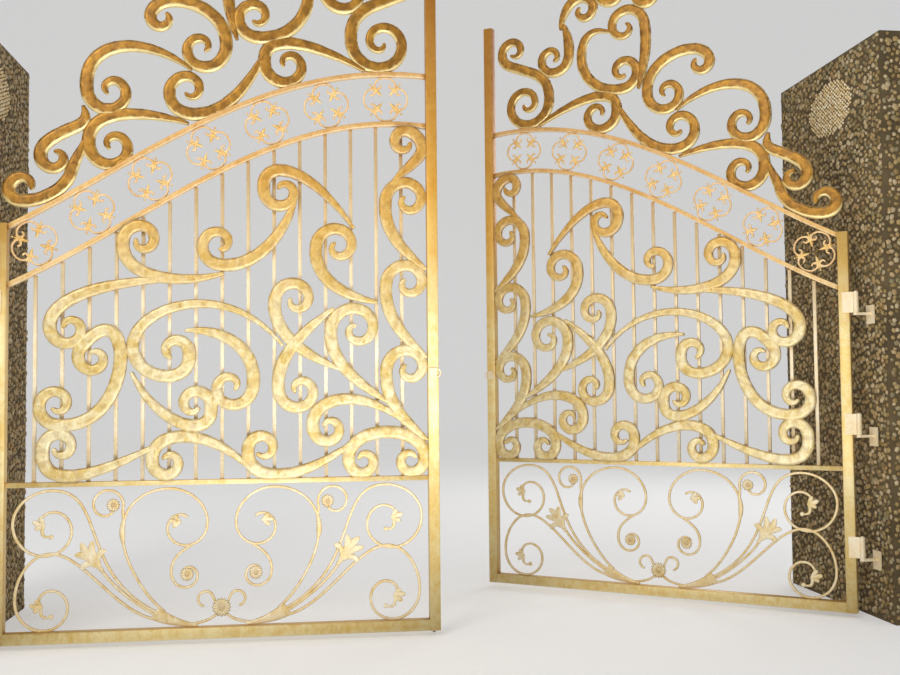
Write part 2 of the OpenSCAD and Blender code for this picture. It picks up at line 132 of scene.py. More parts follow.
HINGE_STILE_H = float(arch_side_v(np.array([TUBE]), ARCH_GAP + ARCH_BAR / 2)[0])
MEETING_STILE_H = 3160.0
print("hinge stile stands", round(HINGE_STILE_H), "mm high; arch crown at", round(float(arch_v(ARCH_CROWN))))

# %% [markdown]
# ## Bars carried along a path
# Nearly everything on the gate is a bar: a section that runs along a line in the leaf's plane. One function
# covers them all. Each ring of points is a unit profile times the half width and half depth there, set
# square to the line. The ends close at a point, either flat or drawn in as a round nose. Computing all rings
# of a bar at once keeps this quick.

# %% Profiles
def squircle(count, power):
    """Unit profile between an ellipse and a box: |c|^power + |s|^power = 1 at evenly spaced angles."""
    a = np.arange(count) * 2 * np.pi / count + np.pi / count
    c, s = np.cos(a), np.sin(a)
    return np.stack([np.sign(c) * abs(c) ** (2 / power), np.sign(s) * abs(s) ** (2 / power)], 1)


def forged_profile():
    """Unit profile of a forged flat bar: one quarter goes from the side over a wide chamfer to the flat
    face, with two close points at each corner; mirrored for the half, and that half turned round."""
    quarter = np.array([[1, 0], [1, 0.40], [0.955, 0.55], [0.74, 0.90], [0.63, 0.985], [0.32, 1.0]])
    half = np.concatenate([quarter, quarter[:0:-1] * [-1, 1]])
    return np.concatenate([half, -half])


def box_profile(half_w, half_d, corner):
    """Unit profile of a box with rounded corners: a quarter circle at each corner, flats between them."""
    a = np.radians(np.array([0, 45, 90]) + np.arange(4)[:, None] * 90)
    mids = np.array([[1, 1], [-1, 1], [-1, -1], [1, -1]]) * [half_w - corner, half_d - corner]
    ring = mids[:, None, :] + corner * np.stack([np.cos(a), np.sin(a)], -1)
    return ring.reshape(-1, 2) / [half_w, half_d]


def sideways(profile, half_w, half_d):
    """How far each point of a profile faces sideways: the first part of the mean normal of its two edges."""
    edge = (np.roll(profile, -1, 0) - profile) * [half_w, half_d]
    normal = np.stack([edge[:, 1], -edge[:, 0]], 1) / np.hypot(*edge.T)[:, None]
    normal = normal + np.roll(normal, 1, 0)
    return normal[:, 0] / np.hypot(*normal.T)


FORGED = forged_profile()
ROUND = squircle(8, 2.0)
SOFT_BOX = squircle(8, 3.4)
print("a forged bar has", len(FORGED), "points round it, a light one", len(SOFT_BOX))

# %% Stations along a line
def way_along(line):
    """Distance from the start at every point of a line."""
    return np.append(0, np.cumsum(np.hypot(*np.diff(line, axis=0).T)))


def stations(line, spacing, noses):
    """Places along a line at about the given spacing, closer where a nose rounds off. Returns the points,
    their unit normals to the left, the distance from the start and the noses' factor, which is the height of
    a quarter circle over each nose's length."""
    line = line[np.append(True, np.hypot(*np.diff(line, axis=0).T) > 1e-6)]
    s = way_along(line)
    total = s[-1]
    quarter = 1 - np.cos(np.linspace(0, np.pi / 2, 5))
    start, stop = (min(r, total / 2.2) for r in noses)
    inner = np.linspace(start, total - stop, max(int((total - start - stop) / spacing), 2) + 1)
    head = start * quarter[:-1] if start else []
    foot = total - stop * quarter[::-1][1:] if stop else []
    at = np.concatenate([head, inner, foot])
    pts = np.stack([np.interp(at, s, line[:, k]) for k in (0, 1)], 1)
    ahead, back = np.minimum(at + 2, total), np.maximum(at - 2, 0)
    t = np.stack([np.interp(ahead, s, line[:, k]) - np.interp(back, s, line[:, k]) for k in (0, 1)], 1)
    t /= np.hypot(*t.T)[:, None]
    factor = np.ones(len(at))
    for radius, way in ((start, at), (stop, total - at)):
        if radius:
            factor *= np.sqrt(1 - np.clip(1 - way / radius, 0, 1) ** 2)
    return pts, np.stack([-t[:, 1], t[:, 0]], 1), at, factor


print("a metre of bar with one round nose has",
      len(stations(np.array([[0.0, 0], [1000, 0]]), 10, (8, 0))[2]), "stations")

# %% Piles of parts
class Pile(list):
    """The parts of one mesh as arrays: points (u, y, v), four-sided and three-sided faces, and three values
    at each point: how dented it is, how far it faces sideways, and how far down."""

    def add(self, points, quads, tris, tone=0.5, edge=0.0, down=0.5):
        """Adds a part whose faces count its own points from 0."""
        first = sum(len(part[0]) for part in self)
        faces = [np.asarray(f, int).reshape(-1, n) + first for f, n in ((quads, 4), (tris, 3))]
        self.append([points, *faces] + [np.broadcast_to(v, len(points)) for v in (tone, edge, down)])


def ring_faces(rings, around):
    """Faces of a row of closed rings with one more point at each end: four-sided ones from ring to ring,
    then a fan of three-sided ones to either end point."""
    i, j = np.meshgrid(np.arange(rings - 1), np.arange(around), indexing="ij")
    k = (j + 1) % around
    quads = np.stack([i * around + j, (i + 1) * around + j, (i + 1) * around + k, i * around + k], -1)
    j, k, end, last = j[0], k[0], np.full(around, rings * around), (rings - 1) * around
    return quads.reshape(-1, 4), np.concatenate([np.stack([end, j, k], 1),
                                                 np.stack([end + 1, last + k, last + j], 1)])


def build(name, pile, side=None, smooth=True):
    """Makes a mesh object of a pile. A mirrored leaf's faces are listed the other way round, so that they
    still point outwards. The values become point attributes. The volume is the sum of the pyramids from the
    origin to every triangle."""
    points, quads, tris, *values = (np.concatenate(column) for column in zip(*pile))
    if side:
        points = place(side, points)
    if side == "right":
        quads, tris = quads[:, ::-1], tris[:, ::-1]
    sizes = np.repeat([4, 3], [len(quads), len(tris)]).astype(np.int32)
    mesh = bpy.data.meshes.new(name)
    mesh.vertices.add(len(points))
    mesh.vertices.foreach_set("co", points.astype(np.float32).ravel())
    mesh.loops.add(int(sizes.sum()))
    mesh.loops.foreach_set("vertex_index", np.append(quads, tris).astype(np.int32))
    mesh.polygons.add(len(sizes))
    mesh.polygons.foreach_set("loop_start", (np.cumsum(sizes) - sizes).astype(np.int32))
    mesh.polygons.foreach_set("use_smooth", np.full(len(sizes), smooth))
    mesh.update(calc_edges=True)
    for label, value in zip(("tone", "edge", "down"), values):
        mesh.attributes.new(label, "FLOAT", "POINT").data.foreach_set("value", value.astype(np.float32))
    obj = bpy.data.objects.new(name, mesh)
    bpy.context.scene.collection.objects.link(obj)
    triangles = np.concatenate([tris, quads[:, :3], quads[:, [0, 2, 3]]])
    a, b, c = (points[triangles[:, k]] for k in range(3))
    litres = np.einsum("ij,ij->", a, np.cross(b, c)) / 6 * 1000
    print(name, len(triangles), "triangles, volume", round(float(litres), 3), "litres")
    return obj


# %% The bar
def bar(pile, line, half_w, half_d, mid_y, profile, spacing=10.0, noses=(0, 0), hammer=None, fit=None):
    """A profile carried along a line. Ring point = place + normal * half_w * c, with depth
    mid_y + half_d * s. half_w and half_d are numbers, or functions of the share of the way along; hammer
    gives dents by station and angle; fit moves the finished points into the panel they are welded in."""
    pts, normal, at, factor = stations(np.asarray(line, float), spacing, noses)
    share = at / at[-1]
    w, d = (size(share) if callable(size) else np.full(len(at), float(size)) for size in (half_w, half_d))
    c, s = profile.T
    dent = hammer(at, np.arctan2(s, c)) if hammer else np.zeros((len(at), len(c)))
    wide = (w * factor)[:, None] * c - dent * c
    y = mid_y + (d * factor)[:, None] * s - dent * s
    u = pts[:, :1] + normal[:, :1] * wide
    v = pts[:, 1:] + normal[:, 1:] * wide
    whole = slice(1 if noses[0] else 0, len(at) - (1 if noses[1] else 0))
    rings = np.stack([u, y, v], -1)[whole]
    ends = [[pts[k, 0], y[k].mean(), pts[k, 1]] for k in (0, -1)]
    points = np.concatenate([rings.reshape(-1, 3), ends])
    if fit:
        points[:, 0], points[:, 2] = fit(points[:, 0], points[:, 2])
    facing = sideways(profile, w.max(), d.max())
    side = np.broadcast_to(np.abs(facing), rings.shape[:2])
    down = 0.5 - 0.5 * normal[whole, 1:] * facing
    values = (np.append(x, [0.5, 0.5]) for x in (dent[whole], side, down))
    pile.add(points, *ring_faces(*rings.shape[:2]), *values)


trial = Pile()
bar(trial, [[0, 0], [100, 0]], 5, 5, 0, ROUND)
print("a short round bar has", len(trial[0][0]), "points")

# %% [markdown]
# ## Heavy scrolls
# A heavy scroll is steel worked hot over an anvil: full in the middle, drawn out to a thin tail at one end
# and rolled into an eye at the other. Each is drawn with a few numbers: the eye's centre, its outer and inner
# radius, the angle where the body leaves it and its turn; knots on the way; then the tail's point and
# direction or a second eye, and how far the curve reaches from each end. The eye is a spiral, the body a
# Bezier curve along its tangent. Sculpted scrolls wouldn't agree with the CAD model.

# %% Scroll lines
def eye_line(e, curl=1.0):
    """Spiral: the radius goes from the outer to the inner one as the angle turns; returned from body to tip.
    A curl above 1 rolls the tip in further than the drawing says."""
    t = np.linspace(0, curl, max(int(abs(e[5]) * curl / 5), 8) + 1)
    r = e[2] + (e[3] - e[2]) * t ** (e[6] if len(e) > 6 else 1)
    a = np.radians(e[4] + e[5] * t)
    return np.stack([e[0] + r * np.cos(a), e[1] + r * np.sin(a), t], 1)


def leaving(e):
    """Direction, in degrees, of the body where it leaves the eye: against the spiral's tangent there."""
    w, k, a = math.radians(e[5]), (0 if len(e) > 6 else e[3] - e[2]), math.radians(e[4])
    return math.degrees(math.atan2(-k * math.sin(a) - e[2] * w * math.cos(a),
                                   -k * math.cos(a) + e[2] * w * math.sin(a)))


def scroll_line(s, full, eye, tail, curl=1.0):
    """Middle line of a scroll and its width: spiral, Bezier legs through the knots, and a second spiral or a
    tail. The width falls from full to tail with the way along the body to the power 3.5, so it stays full
    long."""
    a, knots, b, reach_a, reach_b = s
    stops = []
    for end, turn in ((a, 0), (b, 180)):
        p = eye_line(end)[0, :2] if len(end) > 3 else np.array(end[:2], float)
        stops.append([p, (leaving(end) if len(end) > 3 else end[2]) + turn])
    way = [(*stops[0], 0, reach_a)]
    way += [(np.array(k[:2], float), *k[2:]) for k in knots]
    way += [(*stops[1], reach_b, 0)]
    last = full if len(b) > 3 else tail
    out = []

    def coil(e, wide):
        """An eye with its width, which narrows towards the tip; a tip that is rolled further thins more."""
        sp = eye_line(e, curl)
        thin = (sp[:, 2] > 0.5) * (sp[:, 2] - 0.5) ** 2 * 34 * (curl > 1)
        return np.stack([sp[:, 0], sp[:, 1], wide + (eye - wide) * sp[:, 2] - thin], 1)
    if len(a) > 3:
        out.append(coil(a, full)[::-1])
    t = np.linspace(0, 1, 41)[:, None]
    for k, (p, q) in enumerate(zip(way, way[1:])):
        da, db = math.radians(p[1]), math.radians(q[1])
        c1 = p[0] + p[3] * np.array([math.cos(da), math.sin(da)])
        c2 = q[0] - q[2] * np.array([math.cos(db), math.sin(db)])
        curve = p[0] * (1 - t) ** 3 + c1 * 3 * t * (1 - t) ** 2 + c2 * 3 * t * t * (1 - t) + q[0] * t ** 3
        width = full + (last - full) * ((k + t) / (len(way) - 1)) ** 3.5
        out.append(np.concatenate([curve, width], 1))
    if len(b) > 3:
        out.append(coil(b, last))
    return np.concatenate(out), len(a) > 3, len(b) > 3


MAIN_SCROLLS = [
    [[280, 848, 72, 30, 180, -300], [], [700, 858, 208], 200, 300],
    [[265, 1035, 88, 30, 270, -350], [], [421, 1240, 72, 30, 135, 300], 350, 370],
    [[315, 1372, 82, 30, 180, 300], [], [790, 1588, 180], 130, 330],
    [[625, 1762, 82, 30, 180, -320], [], [985, 1618, 197], 160, 220],
    [[1245, 1992, 84, 30, 180, 280], [], [1565, 1825, 124], 150, 380],
    [[965, 1748, 92, 30, 270, -310], [], [1303, 1955, 253], 170, 150],
    [[768, 1266, 64, 34, 0, 210], [[588, 1290, 90, 150, 180]], [1245, 1290, 127], 170, 400],
    [[1015, 1108, 98, 30, 0, -340], [], [815, 1360, 5], 180, 160],
    [[855, 1030, 73, 30, 0, 280], [], [583, 1175, 294], 170, 270],
    [[742, 778, 68, 30, 180, 280], [], [1117, 722, 130], 150, 290],
    [[1605, 768, 66, 30, 180, 290], [], [1818, 768, 64, 30, 0, -290], 173, 173],
    [[1450, 918, 72, 30, 180, 290], [], [1785, 945, 140], 140, 260],
    [[1812, 1185, 100, 28, 180, -350], [], [1897, 858, 140], 150, 130],
    [[1812, 1575, 100, 28, 180, -350], [], [1897, 1235, 140], 150, 130],
    [[1812, 1957, 100, 28, 180, -350], [], [1897, 1636, 140], 150, 130],
    [[1800, 2225, 60, 30, 45, 270], [], [1742, 2040, 45], 130, 130],
    [[1493, 1742, 98, 28, 180, -350], [], [1675, 1487, 172], 150, 150],
    [[1576, 1364, 115, 28, 180, -380], [], [1722, 1030, 148], 140, 170],
    [[1302, 1498, 92, 30, 180, -320], [], [1505, 1182, 158], 150, 180],
    [[1320, 1090, 94, 30, 180, 330], [], [1475, 1460, 216], 150, 170],
    [[1155, 832, 64, 36, 180, -270], [], [1572, 868, 220], 170, 300],
]
CREST_SCROLLS = [
    [[112, 1996, 62, 36, 180, -165], [[314, 2068, 75, 130, 60]], [368, 2215, 265], 110, 45],
    [[245, 2135, 62, 28, 180, 235], [[361, 2291, 45, 45, 25]], [365, 2368, 290], 90, 40],
    [[494, 2190, 104, 28, 180, 340], [], [825, 2298, 163], 170, 220],
    [[484, 2440, 104, 28, 180, 345], [], [838, 2545, 142], 230, 270],
    [[826, 2448, 105, 28, 270, -350], [], [1168, 2640, 245], 150, 200],
    [[885, 2645, 106, 28, 0, -345], [], [705, 2780, 52, 32, 150, 220], 200, 130],
    [[1268, 2580, 104, 28, 180, 325], [], [1620, 2560, 150], 160, 260],
    [[1125, 2795, 92, 30, 270, -340], [[1362, 2905, 90, 120, 110]], [1190, 3022, 25], 130, 130],
    [[1697, 2692, 138, 30, 180, 450], [[1690, 2880, 22, 90, 45]], [1772, 3005, 84, 30, 285, 330], 110, 45],
    [[1112, 3040, 112, 28, 180, -355], [], [1040, 2690, 105], 120, 120],
    [[1535, 2930, 98, 28, 180, 360], [], [1462, 3110, 255], 70, 70],
    [[1348, 3172, 68, 30, 110, 250], [], [1482, 3085, 95], 90, 100],
    [[1180, 3252, 80, 36, 0, -235], [], [1005, 3200, 64, 36, 180, 250], 150, 130],
]
print(len(MAIN_SCROLLS), "scrolls in the main panel,", len(CREST_SCROLLS), "in the crest")

# %% [markdown]
# ## Hammer marks
# A hammered bar is dented every few centimetres, up to a millimetre deep. The marks are a sum of waves that
# run along and round the bar at different angles, squashed so that the dents are shallow bowls. A bump in the
# material wouldn't show in the outline, so the dents are real. The same numbers shade the finish, because
# paint stays dark in the bowls.

# %% Hammered scrolls
DENT = 1.0
EYE_W, TAIL_W, CURL = 38, 16, 1.2
TIP = 8
SLACK = 8


def hammer_marks(rng, depth):
    """Dents by place and angle: the mean of waves with random direction and phase, squashed between 0 and 1
    by a smooth step, times the depth."""
    waves = [(2 * np.pi / rng.uniform(45, 120), rng.integers(-4, 5), rng.uniform(0, 2 * np.pi))
             for _ in range(8)]

    def dents(at, angle):
        """The depth of the dents at stations and angles, one row a station."""
        total = sum(np.sin(k * at[:, None] + n * angle + phase) for k, n, phase in waves) / len(waves)
        t = np.clip(total * 1.5 + 0.45, 0, 1)
        return depth * t * t * (3 - 2 * t)
    return dents


def within_main(u, v):
    """Keeps points inside the panel between the stiles, the mid rail and the lower arch."""
    u = np.clip(u, INNER[0] + WELD_AIR, INNER[1] - WELD_AIR)
    return u, np.clip(v, RAIL_V + RAIL_H + WELD_AIR, arch_side_v(u, -ARCH_BAR / 2) - WELD_AIR)


def within_crest(u, v):
    """Keeps points above the upper arch and beside the meeting stile."""
    u = np.minimum(u, INNER[1] - WELD_AIR)
    return u, np.maximum(v, arch_side_v(u, ARCH_GAP + ARCH_BAR / 2) + WELD_AIR)


def inside_part(line, fit):
    """The longest run of a middle line that lies in its panel, give or take the slack, and whether each of
    its ends is the line's own."""
    u, v = fit(line[:, 0].copy(), line[:, 1].copy())
    good = np.hypot(u - line[:, 0], v - line[:, 1]) <= SLACK
    runs = np.flatnonzero(np.diff(np.concatenate([[0], good.astype(int), [0]]))).reshape(-1, 2)
    a, b = runs[np.argmax(runs[:, 1] - runs[:, 0])]
    return line[a:b], a == 0, b == len(line)


def heavy_work(side, name, table, full, mid_y, half_d, fit, seed):
    """All heavy scrolls of one panel as one piece; the third column of a line is its width."""
    rng = np.random.default_rng(seed)
    pile = Pile()
    for s in table:
        line, *eyes = scroll_line(s, full, EYE_W, TAIL_W, CURL)
        line, *whole = inside_part(line, fit)
        s_at = way_along(line[:, :2])

        def half_w(share, s_at=s_at, width=line[:, 2]):
            """Half the line's width at a share of its length."""
            return np.interp(share * s_at[-1], s_at, width / 2)
        tips = [TIP if eye and kept else 0 for eye, kept in zip(eyes, whole)]
        deep = rng.uniform(0.94, 1.0) * half_d
        bar(pile, line[:, :2], half_w, deep, mid_y, FORGED, spacing=9.5, noses=tips,
            hammer=hammer_marks(rng, DENT), fit=fit)
    return build(side + "_hammered_" + name, pile, side)


heavy = {}
for side in BOTH:
    heavy[side, "main"] = heavy_work(side, "scrolls", MAIN_SCROLLS, 59, -12, 17, within_main, 11)
    heavy[side, "crest"] = heavy_work(side, "crest", CREST_SCROLLS, 60, 6, 15, within_crest, 12)

# %% [markdown]
# ## Tubes, bars and arches
# Square tube has small round corners, and light runs along them as a thin bright line, which a box with
# knife edges never shows. So the frame's profile is a rounded box, on the CAD model's own lines and sizes.

# %% The frame
TUBE_CORNER, FLAT_CORNER, BAR_CORNER = 4, 1.8, 1.5
BAR_W = 16.0
BAR_COUNT = 15
BAR_MID_Y = 13
FRAME_PARTS = ("hinge_stile", "meeting_stile", "bottom_rail", "mid_rail", "lower_arch", "upper_arch", "bars")


def straight(pile, a, b, half_w, half_d, mid_y, corner):
    """A straight tube from a to b with rounded corners."""
    bar(pile, [a, b], half_w, half_d, mid_y, box_profile(half_w, half_d, corner), spacing=math.inf)


def frame_piece(side, part):
    """One node's tubes or bars: stile, rail, arch or the row of upright bars."""
    pile = Pile()
    half, rail_mid = TUBE / 2, RAIL_V + RAIL_H / 2
    tube = {"hinge_stile": ((half, 0), (half, HINGE_STILE_H)),
            "meeting_stile": ((LEAF_W - half, 0), (LEAF_W - half, MEETING_STILE_H)),
            "bottom_rail": ((INNER[0], half), (INNER[1], half))}
    if part in tube:
        straight(pile, *tube[part], half, half, 0, TUBE_CORNER)
    elif part == "mid_rail":
        straight(pile, (INNER[0], rail_mid), (INNER[1], rail_mid), RAIL_H / 2, RAIL_D / 2,
                 ARCH_Y[1] - RAIL_D / 2, FLAT_CORNER)
    elif part == "bars":
        for i in range(1, BAR_COUNT + 1):
            u = INNER[0] + (INNER[1] - INNER[0]) * i / (BAR_COUNT + 1)
            top = float(arch_side_v(np.array([u - BAR_W / 2, u + BAR_W / 2]), -ARCH_BAR / 2).min())
            straight(pile, (u, RAIL_V + RAIL_H), (u, top), BAR_W / 2, BAR_W / 2, BAR_MID_Y, BAR_CORNER)
    else:
        u = np.linspace(INNER[0], INNER[1], 75)
        line = np.stack([u, arch_side_v(u, 0 if part == "lower_arch" else ARCH_GAP)], 1)
        deep = (ARCH_Y[1] - ARCH_Y[0]) / 2
        bar(pile, line, ARCH_BAR / 2, deep, ARCH_MID_Y, box_profile(ARCH_BAR / 2, deep, FLAT_CORNER),
            spacing=24)
    return build(side + "_" + part + "_tube", pile, side)


tubes = {(side, part): frame_piece(side, part) for side in BOTH for part in FRAME_PARTS}

# %% [markdown]
# ## Rosettes between the arches
# Seven rosettes fill the band between the two arches. Each is four C scrolls of thin square bar, held
# together by four cast lilies on the diagonals. A lily has a pointed middle leaf, side leaves that curl back,
# a band and a small foot. Its leaves are bars too, with a round section that swells and comes to a point,
# which gives the soft relief of a casting.

# %% Small drawings and the widths of leaves
def turned(line, angle, scale, at):
    """A small drawing scaled, turned by an angle in degrees and moved to a point."""
    a = math.radians(angle)
    turn = np.array([[math.cos(a), math.sin(a)], [-math.sin(a), math.cos(a)]])
    return np.asarray(line, float) * scale @ turn + at


def quadratic(start, ctrl, end, count):
    """A quadratic Bezier curve: start (1 - t)^2 + 2 ctrl t (1 - t) + end t^2."""
    t = np.linspace(0, 1, count)[:, None]
    start, ctrl, end = (np.array(p, float) for p in (start, ctrl, end))
    return start * (1 - t) ** 2 + 2 * ctrl * t * (1 - t) + end * t * t


def arc(start, mid, end, count=9):
    """A smooth curve through three points: the quadratic that passes the middle one half way."""
    ctrl = 2 * np.array(mid, float) - (np.array(start, float) + np.array(end, float)) / 2
    return quadratic(start, ctrl, end, count)


def swelling(widest, where, low, blunt=False):
    """Half width of a leaf: rises to its widest place as a quarter sine, then falls to a point as a quarter
    cosine, or closes as a quarter ellipse where it is blunt."""
    def law(share):
        """The half width at a share of the way."""
        rise = low + (1 - low) * np.sin(np.clip(share / where, 0, 1) * np.pi / 2)
        rest = np.clip((share - where) / (1 - where), 0, 1)
        point, ellipse = np.cos(rest * np.pi / 2), np.sqrt(np.clip(1 - rest ** 2, 0.01, 1))
        return widest * np.minimum(rise, ellipse if blunt else np.maximum(point, 0.04))
    return law


def leaves(pile, rows, blunt, profile, spacing, angle, scale, at, mid_y):
    """The leaves of one casting, a row each: middle line, widest half width and where it is, half depth, the
    share of the width at the foot, and how far it is set back. Widths grow with the scale."""
    for line, widest, where, thick, low, back in rows:
        bar(pile, turned(line, angle, scale, at), swelling(widest * scale, where, low, blunt),
            swelling(thick, where, 0.6 if blunt else 0.5, blunt), mid_y + back, profile, spacing=spacing)


print("a lily's middle leaf half way:", np.round(swelling(7.4, 0.42, 0.3)(0.5), 2), "mm to a side")

# %% Rosettes
LOBE = [[60, 31, 15, 10, 90, 230], [[97, 0, -90, 25.3, 25.3]], [60, -31, 15, 10, 270, -230], 20.4, 20.4]
LOBE_REACH = 101
LOBE_BAR = (4.5, 4.2)
ROSETTE_R = (ARCH_GAP - ARCH_BAR) / 2 - WELD_AIR
ROSETTE_COUNT = 7
ROSETTE_U, ROSETTE_STEP = 215, 251.0 - 0.1667


def lily_rows():
    """The middle leaf, two pairs of side leaves, and the stem of a lily that points inwards."""
    rows = [([[66, 0], [46, 0], [20, 0]], 7.4, 0.42, 5.8, 0.3, 0)]
    for sgn in (1, -1):
        rows += [(arc([63, 2 * sgn], [53, 11 * sgn], [65, 17 * sgn]), 4.2, 0.45, 4.8, 0.5, 0),
                 (arc([70, 1 * sgn], [78, 8 * sgn], [88, 9 * sgn]), 4.0, 0.5, 4.4, 0.6, 0)]
    return rows + [([[64, 0], [80, 0], [96, 0]], 4.4, 0.2, 4.8, 0.9, 0)]


def lily(pile, angle, scale, at):
    """A cast lily: its leaves, a band across them and a foot with a knob."""
    leaves(pile, lily_rows(), False, ROUND, 3.0, angle, scale, at, ARCH_MID_Y)
    for line, wide, thick in (([[64, -11], [64, 11]], 4.0, 6.0), ([[91, 0], [99, 0]], 5.2, 5.4)):
        bar(pile, turned(line, angle, scale, at), wide * scale, thick, ARCH_MID_Y, ROUND, spacing=3.0,
            noses=(3, 3))


def rosettes(side):
    """Seven rosettes of four C scrolls and four lilies, turned with the arch where each one stands."""
    bars, cast = Pile(), Pile()
    scale = ROSETTE_R / LOBE_REACH
    line, *_ = scroll_line(LOBE, 8, 8, 8)
    for i in range(ROSETTE_COUNT):
        u = ROSETTE_U + i * ROSETTE_STEP
        at = beside_arch(np.array(u), ARCH_GAP / 2)
        tilt = math.degrees(math.atan(float(arch_slope(u))))
        for a in (0, 90, 180, 270):
            bar(bars, turned(line[:, :2], a + tilt, scale, at), *LOBE_BAR, ARCH_MID_Y, SOFT_BOX, spacing=5,
                noses=(4, 4))
            lily(cast, a + 45 + tilt, scale, at)
    return build(side + "_rosette_bars", bars, side), build(side + "_rosette_lilies", cast, side)


rosette_pieces = {side: rosettes(side) for side in BOTH}

# %% [markdown]
# ## The bottom panel
# Light scrolls of 13 mm bar spread from a collar on the bottom rail, each side mirroring the other, and end
# in cast flowers and leaves. Each bar is a little thinner and deeper set than the one before, so no two faces
# coincide where bars cross.

# %% Light scrolls
LIGHT_W, LIGHT_END_W = 13, 11
LIGHT_HALF_W, LIGHT_HALF_D = 6.4, 6.1
THINNER, DEEPER, MIRROR_DEEPER = 0.04, 0.05, 0.02
LIGHT_TIP = 5
SLEEVED = 3
BASE_SCROLLS = [
    [[230, 165, 135, 36, 180, 350], [[240, 386, 0, 85, 140]], [694, 88, 170], 110, 180],
    [[436, 342, 310], [], [700, 100, 149], 30, 240],
    [[235, 500, 152, 38, 180, 350], [[245, 660, 0, 90, 240]], [708, 112, 154], 90, 400],
    [[807, 495, 105, 42, 0, -300], [[745, 660, 180, 95, 110], [545, 475, 270, 110, 140]],
     [728, 122, 146], 85, 80],
    [[825, 280, 68, 24, 180, 330], [], [845, 411, 212], 70, 60],
    [[480, 590, 70, 30, 350, 350, 2], [], [552, 500, 88], 30, 30],
    [[905, 168, 36, 30, 70, 190], [], [957, 140, 130], 25, 25],
    [[960, 112, 235], [], [800, 62, 0], 50, 60],
]


def within_base(u, v):
    """Keeps points between the stiles and the two rails."""
    u = np.clip(u, INNER[0] + WELD_AIR, INNER[1] - WELD_AIR)
    return u, np.clip(v, TUBE + WELD_AIR, RAIL_V - WELD_AIR)


def mirrored(line):
    """The same line on the panel's other half."""
    return np.stack([LEAF_W - line[:, 0], line[:, 1]], 1)


def collar_width(share):
    """Half width of a collar: broad where the bars go in, then drawn out to a bar's width."""
    return 6.5 + 27 * np.clip(1 - share, 0, 1) ** 1.2 * np.clip(0.7 + share * 3, 0, 1)


def light_scrolls(side):
    """The light bars of both halves, a forged sleeve on one of them, and the collars that gather them."""
    pile = Pile()
    collar = quadratic([684, 118], [758, 70], [872, 57], 30)
    for i, s in enumerate(BASE_SCROLLS):
        line, *eyes = scroll_line(s, LIGHT_W, LIGHT_END_W, LIGHT_END_W)
        line = line[:, :2]
        sleeve = line[(line[:, 1] > 395) & (line[:, 1] < 540) & (line[:, 0] < 620)]
        for flip in (0, 1):
            half = mirrored if flip else np.asarray
            bar(pile, half(line), LIGHT_HALF_W - THINNER * i, LIGHT_HALF_D,
                DEEPER * (i - 4) + MIRROR_DEEPER * flip, SOFT_BOX, spacing=9,
                noses=[LIGHT_TIP * eye for eye in eyes], fit=within_base)
            if i == SLEEVED:
                bar(pile, half(sleeve), swelling(12.5, 0.5, 0.5), swelling(8.2, 0.5, 0.75), 0,
                    squircle(12, 2.4), spacing=8, noses=(3, 3), fit=within_base)
            if i == 0:
                bar(pile, half(collar), collar_width, 8.2, 0, squircle(16, 2.6), spacing=7, noses=(7, 4),
                    fit=within_base)
    return build(side + "_light_scrolls", pile, side)


light = {side: light_scrolls(side) for side in BOTH}

# %% [markdown]
# ## Flowers and leaves
# A flower is one sheet over a disc, whose height is a button in the middle and a ring of petals that rise and
# fall with the cosine of the angle; its outline waves with the petals. A leaf is made of lobes that are bars
# like the lilies' leaves, only larger, flatter and blunt.

# %% Castings
BASE_FLOWERS = [[825, 282, 32], [507, 592, 31]]
CENTRE_FLOWER = [LEAF_W / 2, 133, 43]
PETALS, CENTRE_PETALS = 12, 16
FLOWER_BACK, FLOWER_H = -6.5, 7.7
FLOWER_RINGS = 9
BUTTON_R, RIM_WAVE, SHEET = 0.34, 0.2, 0.3
BIG_BUD = [436, 342, 120, 128]
BASE_LEAVES = [[204, 160, 66, 172, 1], [212, 512, 66, 160, 1], [790, 514, 62, 174, 0]]
CAST_Y = -10
BUD_SIZE, LEAF_SIZE = 100, 66


def flower(pile, u_mid, v_mid, radius, petals):
    """Sheet over a disc: height = the higher of the button, a quarter circle, and the petals, a sine of the
    radius times a wave of the angle. The rim drops to the flat back, which closes at one point."""
    spokes = petals * 4
    rho = np.linspace(0.12, 1, FLOWER_RINGS)[:, None]
    a = np.arange(spokes) * 2 * np.pi / spokes
    wave = 0.5 + 0.5 * np.cos(petals * a)
    rim = 1 - RIM_WAVE * (1 - wave) * rho
    button = np.sqrt(np.clip(1 - (rho / BUTTON_R) ** 2, 0, 1))
    petal = np.clip(np.sin(np.clip((rho - 0.3) / 0.7, 0, 1) * np.pi * 0.86 + 0.25), 0, 1) * (0.3 + 0.7 * wave)
    top = FLOWER_H * np.maximum(0.96 * button, 0.9 * petal * (rho > 0.3)) * (1 - 0.999 * (rho > 0.99))
    u = u_mid + radius * rho * rim * np.cos(a)
    v = v_mid + radius * rho * rim * np.sin(a)
    front = np.stack([u, FLOWER_BACK - SHEET - top, v], -1).reshape(-1, 3)
    ends = [[u_mid, FLOWER_BACK - FLOWER_H, v_mid], [u_mid, FLOWER_BACK, v_mid]]
    tone = np.append(np.where(rho < BUTTON_R, 0.8, 1 - top / FLOWER_H), [1, 1])
    pile.add(np.concatenate([front, ends]), *ring_faces(FLOWER_RINGS, spokes), tone)


